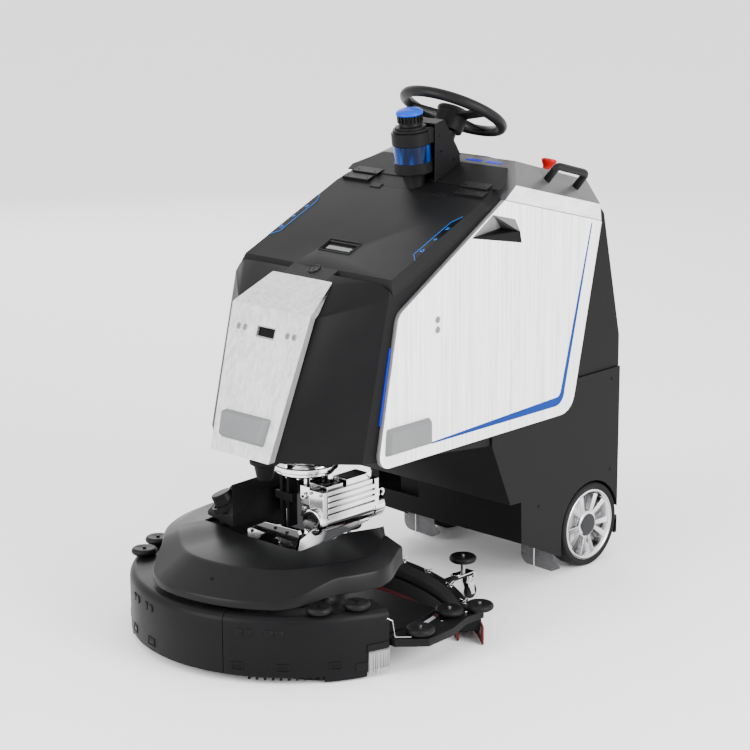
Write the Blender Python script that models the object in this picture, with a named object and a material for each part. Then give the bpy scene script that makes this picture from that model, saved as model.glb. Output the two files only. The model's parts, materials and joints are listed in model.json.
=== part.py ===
"""Robotic floor scrubber: rear body on two wheels, steered front turret with brush deck and squeegee.

Frame: +Z up, the machine's front faces -Y and its left side is +X.  Every size below is in metres and is
measured from the middle of the rear axle, on the floor.  The empty "machine" moves that point so that the
origin of the finished part lies under the middle of its outer box.
"""
import math

import bmesh
import bpy
from mathutils import Matrix, Vector

# ---- driving dimensions -----------------------------------------------------------------------------
GAP = 0.0004                      # clearance between touching pieces
AXLE_TO_ORIGIN = 0.558            # rear axle is this far behind the origin
SIDE_X = 0.262                    # half width of the plastic body
PANEL_T = 0.0125                  # thickness of the metal side panels
WALL = 0.007                      # wall thickness of the plastic shells

WHEEL_R = 0.114                   # rear wheels
WHEEL_W = 0.060
WHEEL_X = 0.238                   # middle of a rear tyre
RIM_R = 0.096
ARCH_R = 0.121                    # opening in the casing round a rear wheel

TURRET_Y = -0.800                 # steering axis of the front unit
BEARING_Z = 0.425                 # underside of the slewing bearing
DRIVE_R = 0.110

DECK_Y = -0.840                   # middle of the round deck
DECK_R = 0.408                    # outer radius of the skirt
SKIRT_LOW = 0.020
SKIRT_TOP = 0.165
SKIRT_SPLIT = 17.0                # degrees from the front where the two skirts meet
SKIRT_END = 78.0
BRUSH_X = 0.200
BRUSH_Y = -0.955
BRUSH_R = 0.158
ROLLER_R = 0.0325
DECK_ROLLERS = {"front": (0.308, -1.065), "rear": (0.350, -0.983)}
ROLLER_Z = 0.176

SQUEEGEE_R = 0.673                # radius of the squeegee's arc
SQUEEGEE_Y = -1.143               # middle of that arc
SQUEEGEE_HALF = 41.3              # degrees each side of the middle
BLADE_H = 0.048
ARM_TOP = 0.085                   # top of the arms that carry the squeegee
BRACKET_TOP = 0.072               # top of the brackets over the two casters
SIDE_ROLLER_R = 0.035
SIDE_ROLLERS = {"arm": (0.432, -0.853, 0.098), "link": (0.398, -0.712, 0.098),
                "tip": (0.430, -0.638, 0.098), "caster": (0.203, -0.440, 0.116)}
CASTER_X = 0.200
CASTER_Y = -0.420
CASTER_R = 0.019
CASTER_TRAIL = 0.012

LID_PITCH = math.radians(23.9)    # slope of the top of the hood, down towards the front
HINGE_Y = -0.424
HINGE_Z = 1.041
LID_FRONT_Y = -0.753
LID_T = 0.012
TONGUE_X = 0.075
TONGUE_Y = -0.798

CONSOLE_PITCH = math.radians(16.0)
CREST_Y = -0.253
CREST_Z = 1.116
SEAM_SLOPE = -0.266               # seam between the console cover and the side panels

LIDAR_C = Vector((0, -0.410, 1.135))
LIDAR_TILT = math.radians(7.5)
STEER_C = Vector((0, -0.253, 1.222))
STEER_TILT = math.radians(28.4)
STEER_R = 0.1295
STEER_TUBE = 0.014

BLACK = (0.032, 0.032, 0.034)
GREY = (0.10, 0.10, 0.105)
SILVER = (0.72, 0.73, 0.74)
CHROME = (0.80, 0.80, 0.82)
RUBBER = (0.018, 0.018, 0.019)
RED = (0.55, 0.02, 0.02)
DARK_RED = (0.22, 0.012, 0.015)
BLUE = (0.01, 0.20, 0.75)


# ---- building helpers -------------------------------------------------------------------------------
def clear_scene():
    for thing in list(bpy.data.objects):
        bpy.data.objects.remove(thing, do_unlink=True)


def material(name, colour, roughness, metallic=0.0):
    found = bpy.data.materials.get(name) or bpy.data.materials.new(name)
    found.use_nodes = True
    shader = found.node_tree.nodes["Principled BSDF"]
    shader.inputs["Base Color"].default_value = (*colour, 1)
    shader.inputs["Roughness"].default_value = roughness
    shader.inputs["Metallic"].default_value = metallic
    return found


def make(name, mesh_builder, colour, roughness=0.5, metallic=0.0, origin=(0, 0, 0), smooth=False):
    """One named sub-part from a bmesh built in machine coordinates, with its own origin and material."""
    origin = Vector(origin)
    bmesh.ops.recalc_face_normals(mesh_builder, faces=mesh_builder.faces)
    bmesh.ops.translate(mesh_builder, verts=mesh_builder.verts, vec=-origin)
    mesh = bpy.data.meshes.new(name)
    mesh_builder.to_mesh(mesh)
    mesh_builder.free()
    if smooth:
        mesh.shade_smooth()
        mesh.set_sharp_from_angle(angle=math.radians(35))
    piece = bpy.data.objects.new(name, mesh)
    bpy.context.scene.collection.objects.link(piece)
    piece.location = origin
    piece.parent = bpy.data.objects["machine"]
    if colour:
        mesh.materials.append(material(name, colour, roughness, metallic))
    return piece


def combine(piece, operation, mesh_builder):
    """Adds one Boolean step, with a hidden helper object as its tool."""
    helper = make(f"{piece.name}.tool", mesh_builder, None)
    helper.hide_render = True
    helper.display_type = "WIRE"
    step = piece.modifiers.new(operation.title(), "BOOLEAN")
    step.operation = operation
    step.object = helper
    step.solver = "EXACT"


def cut(piece, *builders):
    for builder in builders:
        combine(piece, "DIFFERENCE", builder)


def join(piece, *builders):
    for builder in builders:
        combine(piece, "UNION", builder)


def both_sides(points):
    return [Vector((sign * x, y, z)) for x, y, z in points for sign in (1, -1)]


def convex(points):
    """The solid stretched over some points, with flat faces kept whole."""
    built = bmesh.new()
    for point in points:
        built.verts.new(point)
    result = bmesh.ops.convex_hull(built, input=built.verts)
    spare = {item for item in result["geom_interior"] + result["geom_unused"]
             if isinstance(item, bmesh.types.BMVert)}
    bmesh.ops.delete(built, geom=list(spare), context="VERTS")
    bmesh.ops.dissolve_limit(built, angle_limit=math.radians(0.5), verts=built.verts, edges=built.edges)
    return built


def prism(outline, axis, low, high):
    """A flat outline pushed along X, Y or Z.  The outline gives the other two coordinates in order."""
    built = bmesh.new()
    spot = {"X": lambda a, b, c: (c, a, b), "Y": lambda a, b, c: (a, c, b), "Z": lambda a, b, c: (a, b, c)}[axis]
    lower = [built.verts.new(spot(a, b, low)) for a, b in outline]
    upper = [built.verts.new(spot(a, b, high)) for a, b in outline]
    count = len(outline)
    built.faces.new(lower)
    built.faces.new(upper)
    for i in range(count):
        j = (i + 1) % count
        built.faces.new((lower[i], lower[j], upper[j], upper[i]))
    return built


def box(low, high):
    return prism([(low[0], low[1]), (high[0], low[1]), (high[0], high[1]), (low[0], high[1])],
                 "Z", low[2], high[2])


def rounded(corners, arc_steps=4):
    """An outline whose corners (a, b, radius) are replaced by arcs."""
    outline = []
    count = len(corners)
    for i, (a, b, radius) in enumerate(corners):
        here = Vector((a, b))
        before = (Vector(corners[i - 1][:2]) - here).normalized()
        after = (Vector(corners[(i + 1) % count][:2]) - here).normalized()
        if radius <= 0:
            outline.append((a, b))
            continue
        half = before.angle(after) / 2
        centre = here + (before + after).normalized() * radius / math.sin(half)
        start = here + before * radius / math.tan(half) - centre
        turn = start.angle_signed(here + after * radius / math.tan(half) - centre)
        for step in range(arc_steps + 1):
            spot = centre + Matrix.Rotation(-turn * step / arc_steps, 2) @ start
            outline.append((spot.x, spot.y))
    return outline


def turned(profile, centre, axis=(0, 0, 1), steps=24):
    """A solid of revolution.  The profile is a closed loop of (radius, height along the axis)."""
    built = bmesh.new()
    turn = Vector((0, 0, 1)).rotation_difference(Vector(axis)).to_matrix()
    rings = []
    for radius, height in profile:
        if radius < 1e-6:
            ring = [built.verts.new(turn @ Vector((0, 0, height)) + Vector(centre))]
        else:
            ring = []
            for step in range(steps):
                angle = 2 * math.pi * step / steps
                flat = Vector((radius * math.cos(angle), radius * math.sin(angle), height))
                ring.append(built.verts.new(turn @ flat + Vector(centre)))
        rings.append(ring)
    for lower, upper in zip(rings, rings[1:] + rings[:1]):
        if len(lower) == 1 and len(upper) == 1:
            continue
        for step in range(steps):
            after = (step + 1) % steps
            corners = [lower[step % len(lower)], lower[after % len(lower)],
                       upper[after % len(upper)], upper[step % len(upper)]]
            unique = list(dict.fromkeys(corners))
            built.faces.new(unique)
    return built


def disc(radius, low, high, centre, axis=(0, 0, 1), steps=24):
    return turned([(0, low), (radius, low), (radius, high), (0, high)], centre, axis, steps)


def ring_loop(radius, tube, tube_steps=8):
    """Closed profile of a torus."""
    return [(radius + tube * math.cos(2 * math.pi * i / tube_steps),
             tube * math.sin(2 * math.pi * i / tube_steps)) for i in range(tube_steps)]


def swept(sections):
    """A solid through equal closed sections, with its two ends filled."""
    built = bmesh.new()
    rows = [[built.verts.new(point) for point in section] for section in sections]
    count = len(rows[0])
    for row, following in zip(rows, rows[1:]):
        for i in range(count):
            j = (i + 1) % count
            built.faces.new((row[i], row[j], following[j], following[i]))
    built.faces.new(rows[0])
    built.faces.new(rows[-1])
    return built


def deck_point(degrees, radius, z):
    """A point of the round deck, counted from straight ahead towards the machine's left."""
    angle = math.radians(degrees)
    return Vector((radius * math.sin(angle), DECK_Y - radius * math.cos(angle), z))


def squeegee_point(degrees, radius, z):
    angle = math.radians(degrees)
    return Vector((radius * math.sin(angle), SQUEEGEE_Y + radius * math.cos(angle), z))


def lid_z(y, below=0.0):
    """Height of the hood's sloping top, or of the parallel plane that lies some way below it."""
    return HINGE_Z + math.tan(LID_PITCH) * (y - HINGE_Y) - below / math.cos(LID_PITCH)


def seam_z(y):
    return 1.0385 + SEAM_SLOPE * (y + 0.368)


def smoothstep(value, low, high):
    share = min(max((value - low) / (high - low), 0), 1)
    return share * share * (3 - 2 * share)


# ---- body -------------------------------------------------------------------------------------------
def chassis():
    profile = [(-0.900, 0.452), (-0.352, 0.452), (-0.290, 0.400), (-0.264, 0.132), (0.090, 0.132),
               (0.090, 0.154), (-0.243, 0.154), (-0.268, 0.412), (-0.344, 0.476), (-0.900, 0.476)]
    make("chassis_frame", prism(profile, "X", -0.170, 0.170), GREY, 0.5, 0.6)
    ring = [(0.058, 0.0), (0.085, 0.0), (0.085, 0.012), (0.078, 0.012), (0.078, 0.0262), (0.058, 0.0262)]
    make("slewing_bearing", turned(ring, (0, TURRET_Y, BEARING_Z)), CHROME, 0.15, 1.0, smooth=True)


def lower_casing():
    outer = [(-0.405, 0.415), (-0.331, 0.245), (-0.288, 0.243), (-0.285, 0.130), (-0.126, 0.055),
             (0.118, 0.065), (0.118, 0.5295), (-0.405, 0.5295)]
    inner = [(-0.397, 0.60), (-0.397, 0.417), (-0.326, 0.252), (-0.281, 0.250), (-0.278, 0.0),
             (0.111, 0.0), (0.111, 0.60)]
    casing = make("lower_casing", prism(outer, "X", -0.268, 0.268), BLACK, 0.45)
    cut(casing, prism(inner, "X", -SIDE_X + 0.0002, SIDE_X - 0.0002))
    turns = [math.pi * i / 16 for i in range(17)]
    arch = [(-ARCH_R * math.cos(turn), WHEEL_R + ARCH_R * math.sin(turn)) for turn in turns]
    for low, high in ((-0.3, -0.2), (0.2, 0.3)):
        cut(casing, prism([(-ARCH_R, 0.0)] + arch + [(ARCH_R - 0.030, 0.0)], "X", low, high))
    cut(casing, box((-0.235, -0.30, 0.180), (-0.090, -0.26, 0.258)))
    cut(casing, box((-0.228, -0.42, 0.440), (0.228, -0.38, 0.60)))


HULL_POINTS = [(0.100, -1.000, 0.470), (SIDE_X, -0.869, 0.470), (0.130, -0.8905, 0.806),
               (0.098, -0.803, lid_z(-0.803)), (0.250, LID_FRONT_Y, lid_z(LID_FRONT_Y)),
               (SIDE_X, -0.776, 0.852), (0.250, HINGE_Y, lid_z(HINGE_Y)), (SIDE_X, -0.390, 1.032),
               (0.205, CREST_Y - 0.002, CREST_Z - 0.002), (SIDE_X, 0.010, 0.960), (SIDE_X, 0.042, 0.952),
               (0.200, 0.076, 0.960), (SIDE_X, 0.118, 0.614), (0.200, 0.132, 0.614),
               (SIDE_X, 0.118, 0.360), (0.200, 0.132, 0.360), (0.190, 0.070, 1.000)]
BAY = [(-0.495, 0.961), (-0.305, 0.924), (-0.312, 0.953), (-0.332, 0.987), (-0.417, 1.009)]


def inset(points, wall):
    """The same points moved inwards, and the low ones pushed out through the bottom."""
    moved = []
    for x, y, z in points:
        inner_y = y + wall if y < -0.5 else y - wall
        inner_z = z - wall * 1.1 if z > 0.62 else (z - 0.12 if y < -0.5 else z)
        moved.append((x - wall, inner_y, inner_z))
    return moved


def lid_points(spread=0.0):
    """Corners of the lid's outer surface, from the hinge line down to its front edge."""
    return [(0.250, HINGE_Y + spread, lid_z(HINGE_Y + spread)),
            (0.250, LID_FRONT_Y - spread, lid_z(LID_FRONT_Y - spread)),
            (SIDE_X, HINGE_Y + spread, lid_z(HINGE_Y) - 0.022),
            (SIDE_X, LID_FRONT_Y - spread - 0.010, 0.865)]


def sink(points, depth):
    """Points moved square to the hood's slope, down for a positive depth."""
    shift = Vector((0, math.sin(LID_PITCH), -math.cos(LID_PITCH))) * depth
    return [Vector(point) + shift for point in points]


def lid_solid(top, bottom, spread=0.0):
    points = both_sides(lid_points(spread))
    return convex(sink(points, top) + sink(points, bottom))


def tongue_solid(top, bottom, spread=0.0):
    half = TONGUE_X + spread
    points = [(sign * half, y, lid_z(y)) for sign in (1, -1) for y in (LID_FRONT_Y + 0.02, TONGUE_Y - spread)]
    return convex(sink(points, top) + sink(points, bottom))


def console_points(spread=0.0):
    side = 0.272 + spread
    return [(0.208 + spread, -0.289 - spread, lid_z(-0.289)), (0.205 + spread, CREST_Y, CREST_Z + spread),
            (0.200 + spread, 0.045, 1.031 + spread), (0.196 + spread, 0.082 + spread, 0.985),
            (side, -0.327 - spread, 1.070), (side, 0.013 + spread, 0.979),
            (side, -0.368 - spread, seam_z(-0.368) - spread), (side, 0.018 + spread, seam_z(0.018) - spread),
            (0.208 + spread, -0.289 - spread, seam_z(-0.289) - spread),
            (0.190 + spread, 0.088 + spread, seam_z(0.088) - spread)]


def hull_shell():
    hull = make("hull_shell", convex(both_sides(HULL_POINTS)), BLACK, 0.42)
    cut(hull, box((-0.4, -0.4085, 0.2), (0.4, 0.3, 0.5300)))
    cavity = both_sides(inset(HULL_POINTS, WALL))
    cut(hull, convex(cavity))
    cut(hull, box((-SIDE_X + WALL, -0.42, 0.40), (SIDE_X - WALL, 0.110, 0.60)))
    console = both_sides(console_points(0.0006))
    cut(hull, convex(console + [point + Vector((0, 0, 0.2)) for point in console]))
    cut(hull, lid_solid(-0.05, LID_T + GAP, GAP * 1.5), tongue_solid(-0.05, LID_T + GAP, GAP * 1.5))
    cut(hull, prism(BAY, "X", -0.3, 0.3))


def tank_lid():
    lid = make("tank_lid", lid_solid(0.0, LID_T), BLACK, 0.4, origin=(0, HINGE_Y, HINGE_Z))
    join(lid, tongue_solid(0.0, LID_T))
    low, high = -0.690, -0.650
    pocket = [(sign * 0.050, y, lid_z(y)) for sign in (1, -1) for y in (low, high)]
    cut(lid, convex(sink(pocket, -0.01) + sink(pocket, 0.02)))
    lock = Vector((0.004, -0.764, lid_z(-0.764)))
    cut(lid, disc(0.0126, -0.03, 0.03, lock, lid_normal(), 16))


def lid_normal():
    return Vector((0, -math.sin(LID_PITCH), math.cos(LID_PITCH)))


def latch_and_lock():
    """Paddle in the lid's recess, hinged along its rear edge, and the turning lock barrel below it."""
    low, high = -0.6885, -0.6515
    plate = [(sign * 0.0490, y, lid_z(y)) for sign in (1, -1) for y in (low, high)]
    paddle = make("lid_latch", convex(sink(plate, 0.0045) + sink(plate, 0.0085)), GREY, 0.4,
                  origin=(0, high, lid_z(high) - 0.0012))
    grip = [(sign * 0.0490, y, lid_z(y)) for sign in (1, -1) for y in (high - 0.007, high)]
    join(paddle, convex(sink(grip, 0.0005) + sink(grip, 0.0060)))
    lock = Vector((0.004, -0.764, lid_z(-0.764)))
    barrel = make("lock_barrel", disc(0.0120, -0.020, 0.0015, lock, lid_normal(), 16), GREY, 0.3, 0.6,
                  origin=lock, smooth=True)
    slot = box((-0.0012, -0.006, -0.004), (0.0012, 0.006, 0.01))
    turn = Vector((0, 0, 1)).rotation_difference(lid_normal()).to_matrix()
    bmesh.ops.rotate(slot, verts=slot.verts, cent=(0, 0, 0), matrix=turn)
    bmesh.ops.translate(slot, verts=slot.verts, vec=lock)
    cut(barrel, slot)


def front_panel():
    outer = [(-1.021, 0.472), (-0.907, 0.815), (-0.801, lid_z(-0.801) + 0.003)]
    inner = [(-0.8035, lid_z(-0.8035) + 0.0012), (-0.8915, 0.8070), (-1.0013, 0.472)]
    panel = make("front_panel", prism(outer + inner, "X", -0.14, 0.14), SILVER, 0.3, 0.9)
    face = rounded([(-0.101, 0.470, 0.006), (-0.134, 0.815, 0.02), (-0.100, 0.880, 0.012),
                    (0.100, 0.880, 0.012), (0.134, 0.815, 0.02), (0.101, 0.470, 0.006)], 3)
    combine(panel, "INTERSECT", prism(face, "Y", -1.1, -0.7))
    cut(panel, box((-0.029, -1.1, 0.748), (0.029, -0.7, 0.770)))


def side_panels():
    corners = [(-0.3725, seam_z(-0.3725) - 0.001, 0.004), (0.0165, seam_z(0.0165) - 0.001, 0.004),
               (-0.0950, 0.447, 0.055), (-0.8290, 0.447, 0.032), (-0.7545, 0.8140, 0.040)]
    outline = rounded(corners, 5)
    for side, sign in (("left", 1), ("right", -1)):
        near, far = sign * (SIDE_X + GAP), sign * (SIDE_X + PANEL_T)
        panel = make(f"side_panel_{side}", prism(outline, "X", near, far), SILVER, 0.3, 0.9)
        cut(panel, prism(BAY, "X", -0.3, 0.3))
        casing_gap = box((sign * 0.2 - 0.08, -0.50, 0.10), (sign * 0.2 + 0.0684, 0.20, 0.5299))
        if sign < 0:
            bmesh.ops.translate(casing_gap, verts=casing_gap.verts, vec=(0.0116, 0, 0))
        cut(panel, casing_gap)


def console():
    cover = make("console_cover", convex(both_sides(console_points())), SILVER, 0.35, 0.9)
    inner = []
    for x, y, z in console_points():
        inner.append((x - 0.006, y + (0.006 if y < -0.2 else -0.006), z - (0.007 if z > 0.96 else 0.03)))
    cut(cover, convex(both_sides(inner) + [point + Vector((0, 0, -0.06)) for point in both_sides(inner)]))
    normal = Vector((0, math.sin(CONSOLE_PITCH), math.cos(CONSOLE_PITCH)))
    stop = Vector((0.120, -0.020, console_z(-0.020)))
    cut(cover, disc(0.0110, -0.03, 0.03, stop, normal, 16))
    profile = [(0, -0.030), (0.0105, -0.030), (0.0105, 0.014), (0.0185, 0.018), (0.0195, 0.030),
               (0.015, 0.036), (0, 0.037)]
    make("estop_button", turned(profile, stop, normal, 16), RED, 0.35, origin=stop, smooth=True)
    screen = [(x, y, console_z(y) + GAP) for x in (-0.130, 0.070) for y in (-0.200, -0.070)]
    lifted = [Vector(point) + normal * 0.006 for point in screen]
    make("touch_display", convex(screen + lifted), BLACK, 0.1)


def console_z(y):
    return CREST_Z + (y - CREST_Y) * (1.031 - CREST_Z) / (0.045 - CREST_Y)


def grab_handles():
    """A bent tube on each slanting shoulder of the console."""
    for side, sign in (("left", 1), ("right", -1)):
        route = [(0.2310, -0.164, 1.0536), (0.270, -0.164, 1.0990), (0.270, -0.047, 1.0665),
                 (0.2310, -0.047, 1.0211)]
        bends = bend_corners([Vector((sign * x, y, z)) for x, y, z in route], 0.016)
        handle = make(f"grab_handle_{side}", tube(bends, 0.0095, 12), RUBBER, 0.6, smooth=True)
        cut(handle, convex(both_sides(console_points(GAP * 1.5))))


def tube(route, radius, steps):
    """A round tube along a route, its sections turned as little as possible from one to the next."""
    sections = []
    aside = (route[1] - route[0]).orthogonal().normalized()
    for i, here in enumerate(route):
        forward = (route[min(i + 1, len(route) - 1)] - route[max(i - 1, 0)]).normalized()
        aside = (aside - forward * aside.dot(forward)).normalized()
        other = forward.cross(aside)
        sections.append([here + radius * (aside * math.cos(turn) + other * math.sin(turn))
                         for turn in (2 * math.pi * k / steps for k in range(steps))])
    return swept(sections)


def bend_corners(route, radius, steps=3):
    """The route with each inner corner replaced by a short curve."""
    points = [route[0]]
    for before, here, after in zip(route, route[1:], route[2:]):
        start = here + (before - here).normalized() * radius
        end = here + (after - here).normalized() * radius
        for step in range(steps + 1):
            share = step / steps
            points.append((1 - share) ** 2 * start + 2 * share * (1 - share) * here + share ** 2 * end)
    return points + [route[-1]]


def inner_units():
    """What the shells hold: tanks, battery and suction motor."""
    make("battery_pack", box((-0.160, -0.235, 0.1545), (0.160, 0.085, 0.360)), GREY, 0.5)
    low = [(0.215, -0.33, 0.535), (0.215, 0.085, 0.535), (0.215, -0.33, 0.700), (0.215, 0.060, 0.700)]
    make("recovery_tank", convex(both_sides(low)), GREY, 0.5)
    nose = [(0.080, -0.925, 0.500), (0.225, -0.830, 0.500), (0.225, -0.345, 0.500), (0.095, -0.855, 0.780),
            (0.225, -0.745, 0.820), (0.225, -0.345, 0.960)]
    make("solution_tank", convex(both_sides(nose)), GREY, 0.4)
    make("vacuum_motor", disc(0.070, 0, 0.12, (-0.10, -0.13, 0.7205), (0, 0, 1), 20), GREY, 0.4, smooth=True)


def rear_wheels():
    for side, sign in (("left", 1), ("right", -1)):
        hub = (sign * WHEEL_X, 0, WHEEL_R)
        half = WHEEL_W / 2
        tread = [(RIM_R + GAP, -half + 0.004), (WHEEL_R - 0.006, -half), (WHEEL_R, -half + 0.007),
                 (WHEEL_R, half - 0.007), (WHEEL_R - 0.006, half), (RIM_R + GAP, half - 0.004)]
        make(f"rear_tyre_{side}", turned(tread, hub, (sign, 0, 0), 32), RUBBER, 0.7, origin=hub, smooth=True)
        rim = [(0, -0.022), (0.030, -0.022), (RIM_R, -0.022), (RIM_R, half - 0.003), (RIM_R - 0.005, half - 0.001),
               (RIM_R - 0.011, half - 0.004), (RIM_R - 0.015, 0.006), (0.040, 0.006), (0.034, 0.022),
               (0, 0.022)]
        wheel = make(f"rear_rim_{side}", turned(rim, hub, (sign, 0, 0), 32), CHROME, 0.12, 1.0, origin=hub,
                     smooth=True)
        for spoke in range(5):
            angle = 2 * math.pi * (spoke + 0.5) / 5
            spot = (hub[0], 0.061 * math.sin(angle), WHEEL_R + 0.061 * math.cos(angle))
            cut(wheel, disc(0.015, -0.05, 0.05, spot, (sign, 0, 0), 8))


def splash_flaps():
    for side, sign in (("left", 1), ("right", -1)):
        outline = [(0.150, 0.1310), (0.2610, 0.1310), (0.2610, 0.0560), (0.2750, 0.0560), (0.2750, 0.0060),
                   (0.1650, 0.0060), (0.1650, 0.0560), (0.150, 0.0560)]
        outline = [(sign * x, z) for x, z in outline]
        make(f"splash_flap_{side}", prism(outline, "Y", -0.1440, -0.1390), RUBBER, 0.6)


def sensor_tower():
    axis = Vector((0, -math.sin(LIDAR_TILT), math.cos(LIDAR_TILT)))
    profile = [(0, -0.110), (0.022, -0.110), (0.026, -0.055), (0.042, -0.050), (0.0505, -0.046),
               (0.0505, -0.022), (0.0485, -0.021), (0.0485, 0.021), (0.0510, 0.022), (0.0510, 0.052),
               (0.044, 0.060), (0.030, 0.064), (0.030, 0.086), (0, 0.086)]
    centre = LIDAR_C + Vector((0, 0.004, 0))
    housing = make("lidar_housing", turned(profile, centre, axis, 28), BLACK, 0.4, smooth=True)
    floor = [(sign * 0.1, y, lid_z(y)) for sign in (1, -1) for y in (-0.60, -0.20)]
    cut(housing, convex(sink(floor, -GAP * 2) + sink(floor, 0.2)))
    cut(housing, box((-0.1, -0.60, 0.98), (0.1, -0.4215, 1.070)))
    cap = [(0, 0.0865), (0.0335, 0.0865), (0.0345, 0.094), (0.030, 0.101), (0.018, 0.1055), (0, 0.107)]
    make("status_beacon", turned(cap, centre, axis, 24), BLUE, 0.3, smooth=True)

    cheeks = [(-0.385, 1.2085), (-0.350, 1.216), (-0.292, 1.128), (-0.290, lid_z(-0.290) + 0.001),
              (-0.385, lid_z(-0.385) + 0.001)]
    bracket = make("lidar_bracket", prism(cheeks, "X", -0.0565, 0.0565), BLACK, 0.4)
    hollow = [(-0.400, 1.2020), (-0.353, 1.2110), (-0.2965, 1.129), (-0.2940, 1.0), (-0.400, 1.0)]
    cut(bracket, prism(hollow, "X", -0.0530, 0.0530))
    cut(bracket, box((-0.0245, -0.36, 1.0), (0.0245, -0.27, 1.195)))


def steering():
    axis = Vector((0, math.sin(STEER_TILT), math.cos(STEER_TILT)))
    wheel = make("steering_wheel", turned(ring_loop(STEER_R, STEER_TUBE), STEER_C, axis, 32), RUBBER, 0.55,
                 origin=STEER_C, smooth=True)
    join(wheel, turned([(0, -0.052), (0.038, -0.052), (0.040, -0.004), (0.036, 0.004), (0, 0.006)], STEER_C,
                       axis, 20))
    turn = Vector((0, 0, 1)).rotation_difference(axis).to_matrix()
    for spoke in (-10, 90, 190):
        bar = box((0.030, -0.011, -0.012), (STEER_R - 0.003, 0.011, -0.003))
        bmesh.ops.rotate(bar, verts=bar.verts, cent=(0, 0, 0),
                         matrix=turn @ Matrix.Rotation(math.radians(spoke), 3, "Z"))
        bmesh.ops.translate(bar, verts=bar.verts, vec=STEER_C)
        join(wheel, bar)
    column = make("steering_column", disc(0.020, -0.170, -0.0525, STEER_C, axis, 16), BLACK, 0.45, smooth=True)
    floor = [(sign * 0.1, y, lid_z(y)) for sign in (1, -1) for y in (-0.60, -0.10)]
    cut(column, convex(sink(floor, -GAP * 2) + sink(floor, 0.2)))


# ---- steered front unit -----------------------------------------------------------------------------
def turret():
    yoke = make("turret_yoke", disc(0.082, 0.388, BEARING_Z - GAP, (0, TURRET_Y, 0), (0, 0, 1), 28), CHROME,
                0.2, 1.0, origin=(0, TURRET_Y, BEARING_Z))
    for sign in (1, -1):
        near, far = sorted((sign * 0.0365, sign * 0.0480))
        join(yoke, box((near, TURRET_Y - 0.032, 0.090), (far, TURRET_Y + 0.032, 0.395)))
    wheel = [(0, -0.028), (0.060, -0.028), (0.062, -0.020), (0.078, -0.020), (0.080, -0.028),
             (DRIVE_R - 0.005, -0.028), (DRIVE_R, -0.022), (DRIVE_R, 0.022), (DRIVE_R - 0.005, 0.028),
             (0.080, 0.028), (0.078, 0.020), (0.062, 0.020), (0.060, 0.028), (0, 0.028)]
    hub = (0, TURRET_Y, DRIVE_R)
    drive = make("drive_wheel", turned(wheel, hub, (1, 0, 0), 32), RUBBER, 0.7, origin=hub, smooth=True)
    join(drive, disc(0.012, -0.0360, 0.0360, hub, (1, 0, 0), 12))

    motor = make("traction_motor", box((0.0485, -0.865, 0.300), (0.135, -0.680, 0.372)), CHROME, 0.15, 1.0)
    join(motor, disc(0.034, -0.882, -0.650, (0.100, 0, 0.292), (0, 1, 0), 20))
    bracket = make("lift_bracket", prism(arch_outline(), "Y", -0.951, -0.943), CHROME, 0.15, 1.0)
    join(bracket, box((0.0565, -0.9510, 0.2300), (0.0625, -0.8700, 0.2540)))
    join(bracket, box((0.0485, -0.9000, 0.2300), (0.0625, -0.7700, 0.2540)))
    skid = [(-0.951, 0.236), (-0.915, 0.221), (-0.676, 0.2540), (-0.880, 0.2545), (-0.951, 0.262)]
    join(bracket, prism(skid, "X", 0.0970, 0.1030))
    join(bracket, box((0.0600, -0.9000, 0.2300), (0.1000, -0.8800, 0.2380)))


def arch_outline():
    """Front plate with a half round opening over the drive wheel."""
    opening = [(0.030 + 0.045 * math.cos(math.pi * i / 8), 0.226 + 0.045 * math.sin(math.pi * i / 8))
               for i in range(9)]
    return [(0.112, 0.226), (0.131, 0.288), (0.126, 0.297), (0.012, 0.294), (-0.050, 0.264),
            (-0.054, 0.226)] + list(reversed(opening))


# ---- brush deck -------------------------------------------------------------------------------------
def deck():
    low, high = 0.074, 0.088
    plate = make("deck_plate", disc(0.372, low, high, (0, DECK_Y, 0), (0, 0, 1), 40), GREY, 0.5, 0.5)
    cut(plate, box((-0.5, -0.700, 0.0), (0.5, 0.0, 0.2)))
    cut(plate, box((-0.0560, -0.930, 0.0), (0.0560, 0.0, 0.2)))
    for sign in (1, -1):
        cut(plate, disc(0.022, -0.1, 0.3, (sign * BRUSH_X, BRUSH_Y, 0), (0, 0, 1), 12))
    shroud = swept([shroud_section(angle) for angle in spread_angles(-104, 104, 32)])
    make("deck_shroud", shroud, BLACK, 0.4, smooth=True)
    for name, start, end in (("left", SKIRT_SPLIT + 0.08, SKIRT_END), ("right", -SKIRT_END, SKIRT_SPLIT)):
        arc = swept([skirt_section(angle) for angle in spread_angles(start, end, 14 if name == "left" else 22)])
        make(f"skirt_{name}", arc, BLACK, 0.42, smooth=True)
    motor_cover()
    for side, sign in (("left", 1), ("right", -1)):
        hub = (sign * BRUSH_X, BRUSH_Y, 0)
        profile = [(0, 0.020), (0.045, 0.020), (0.060, 0.0), (BRUSH_R, 0.0), (BRUSH_R - 0.010, 0.040),
                   (BRUSH_R - 0.010, 0.052), (0.045, 0.060), (0.018, 0.064), (0.018, 0.100), (0, 0.100)]
        make(f"brush_{side}", turned(profile, hub, (0, 0, 1), 28), RUBBER, 0.8, origin=hub, smooth=True)
        for row, (x, y) in DECK_ROLLERS.items():
            roller(f"roller_{row}_{side}", (sign * x, y, ROLLER_Z), ROLLER_R, SKIRT_TOP)


def spread_angles(start, end, steps):
    return [start + (end - start) * i / steps for i in range(steps + 1)]


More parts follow.
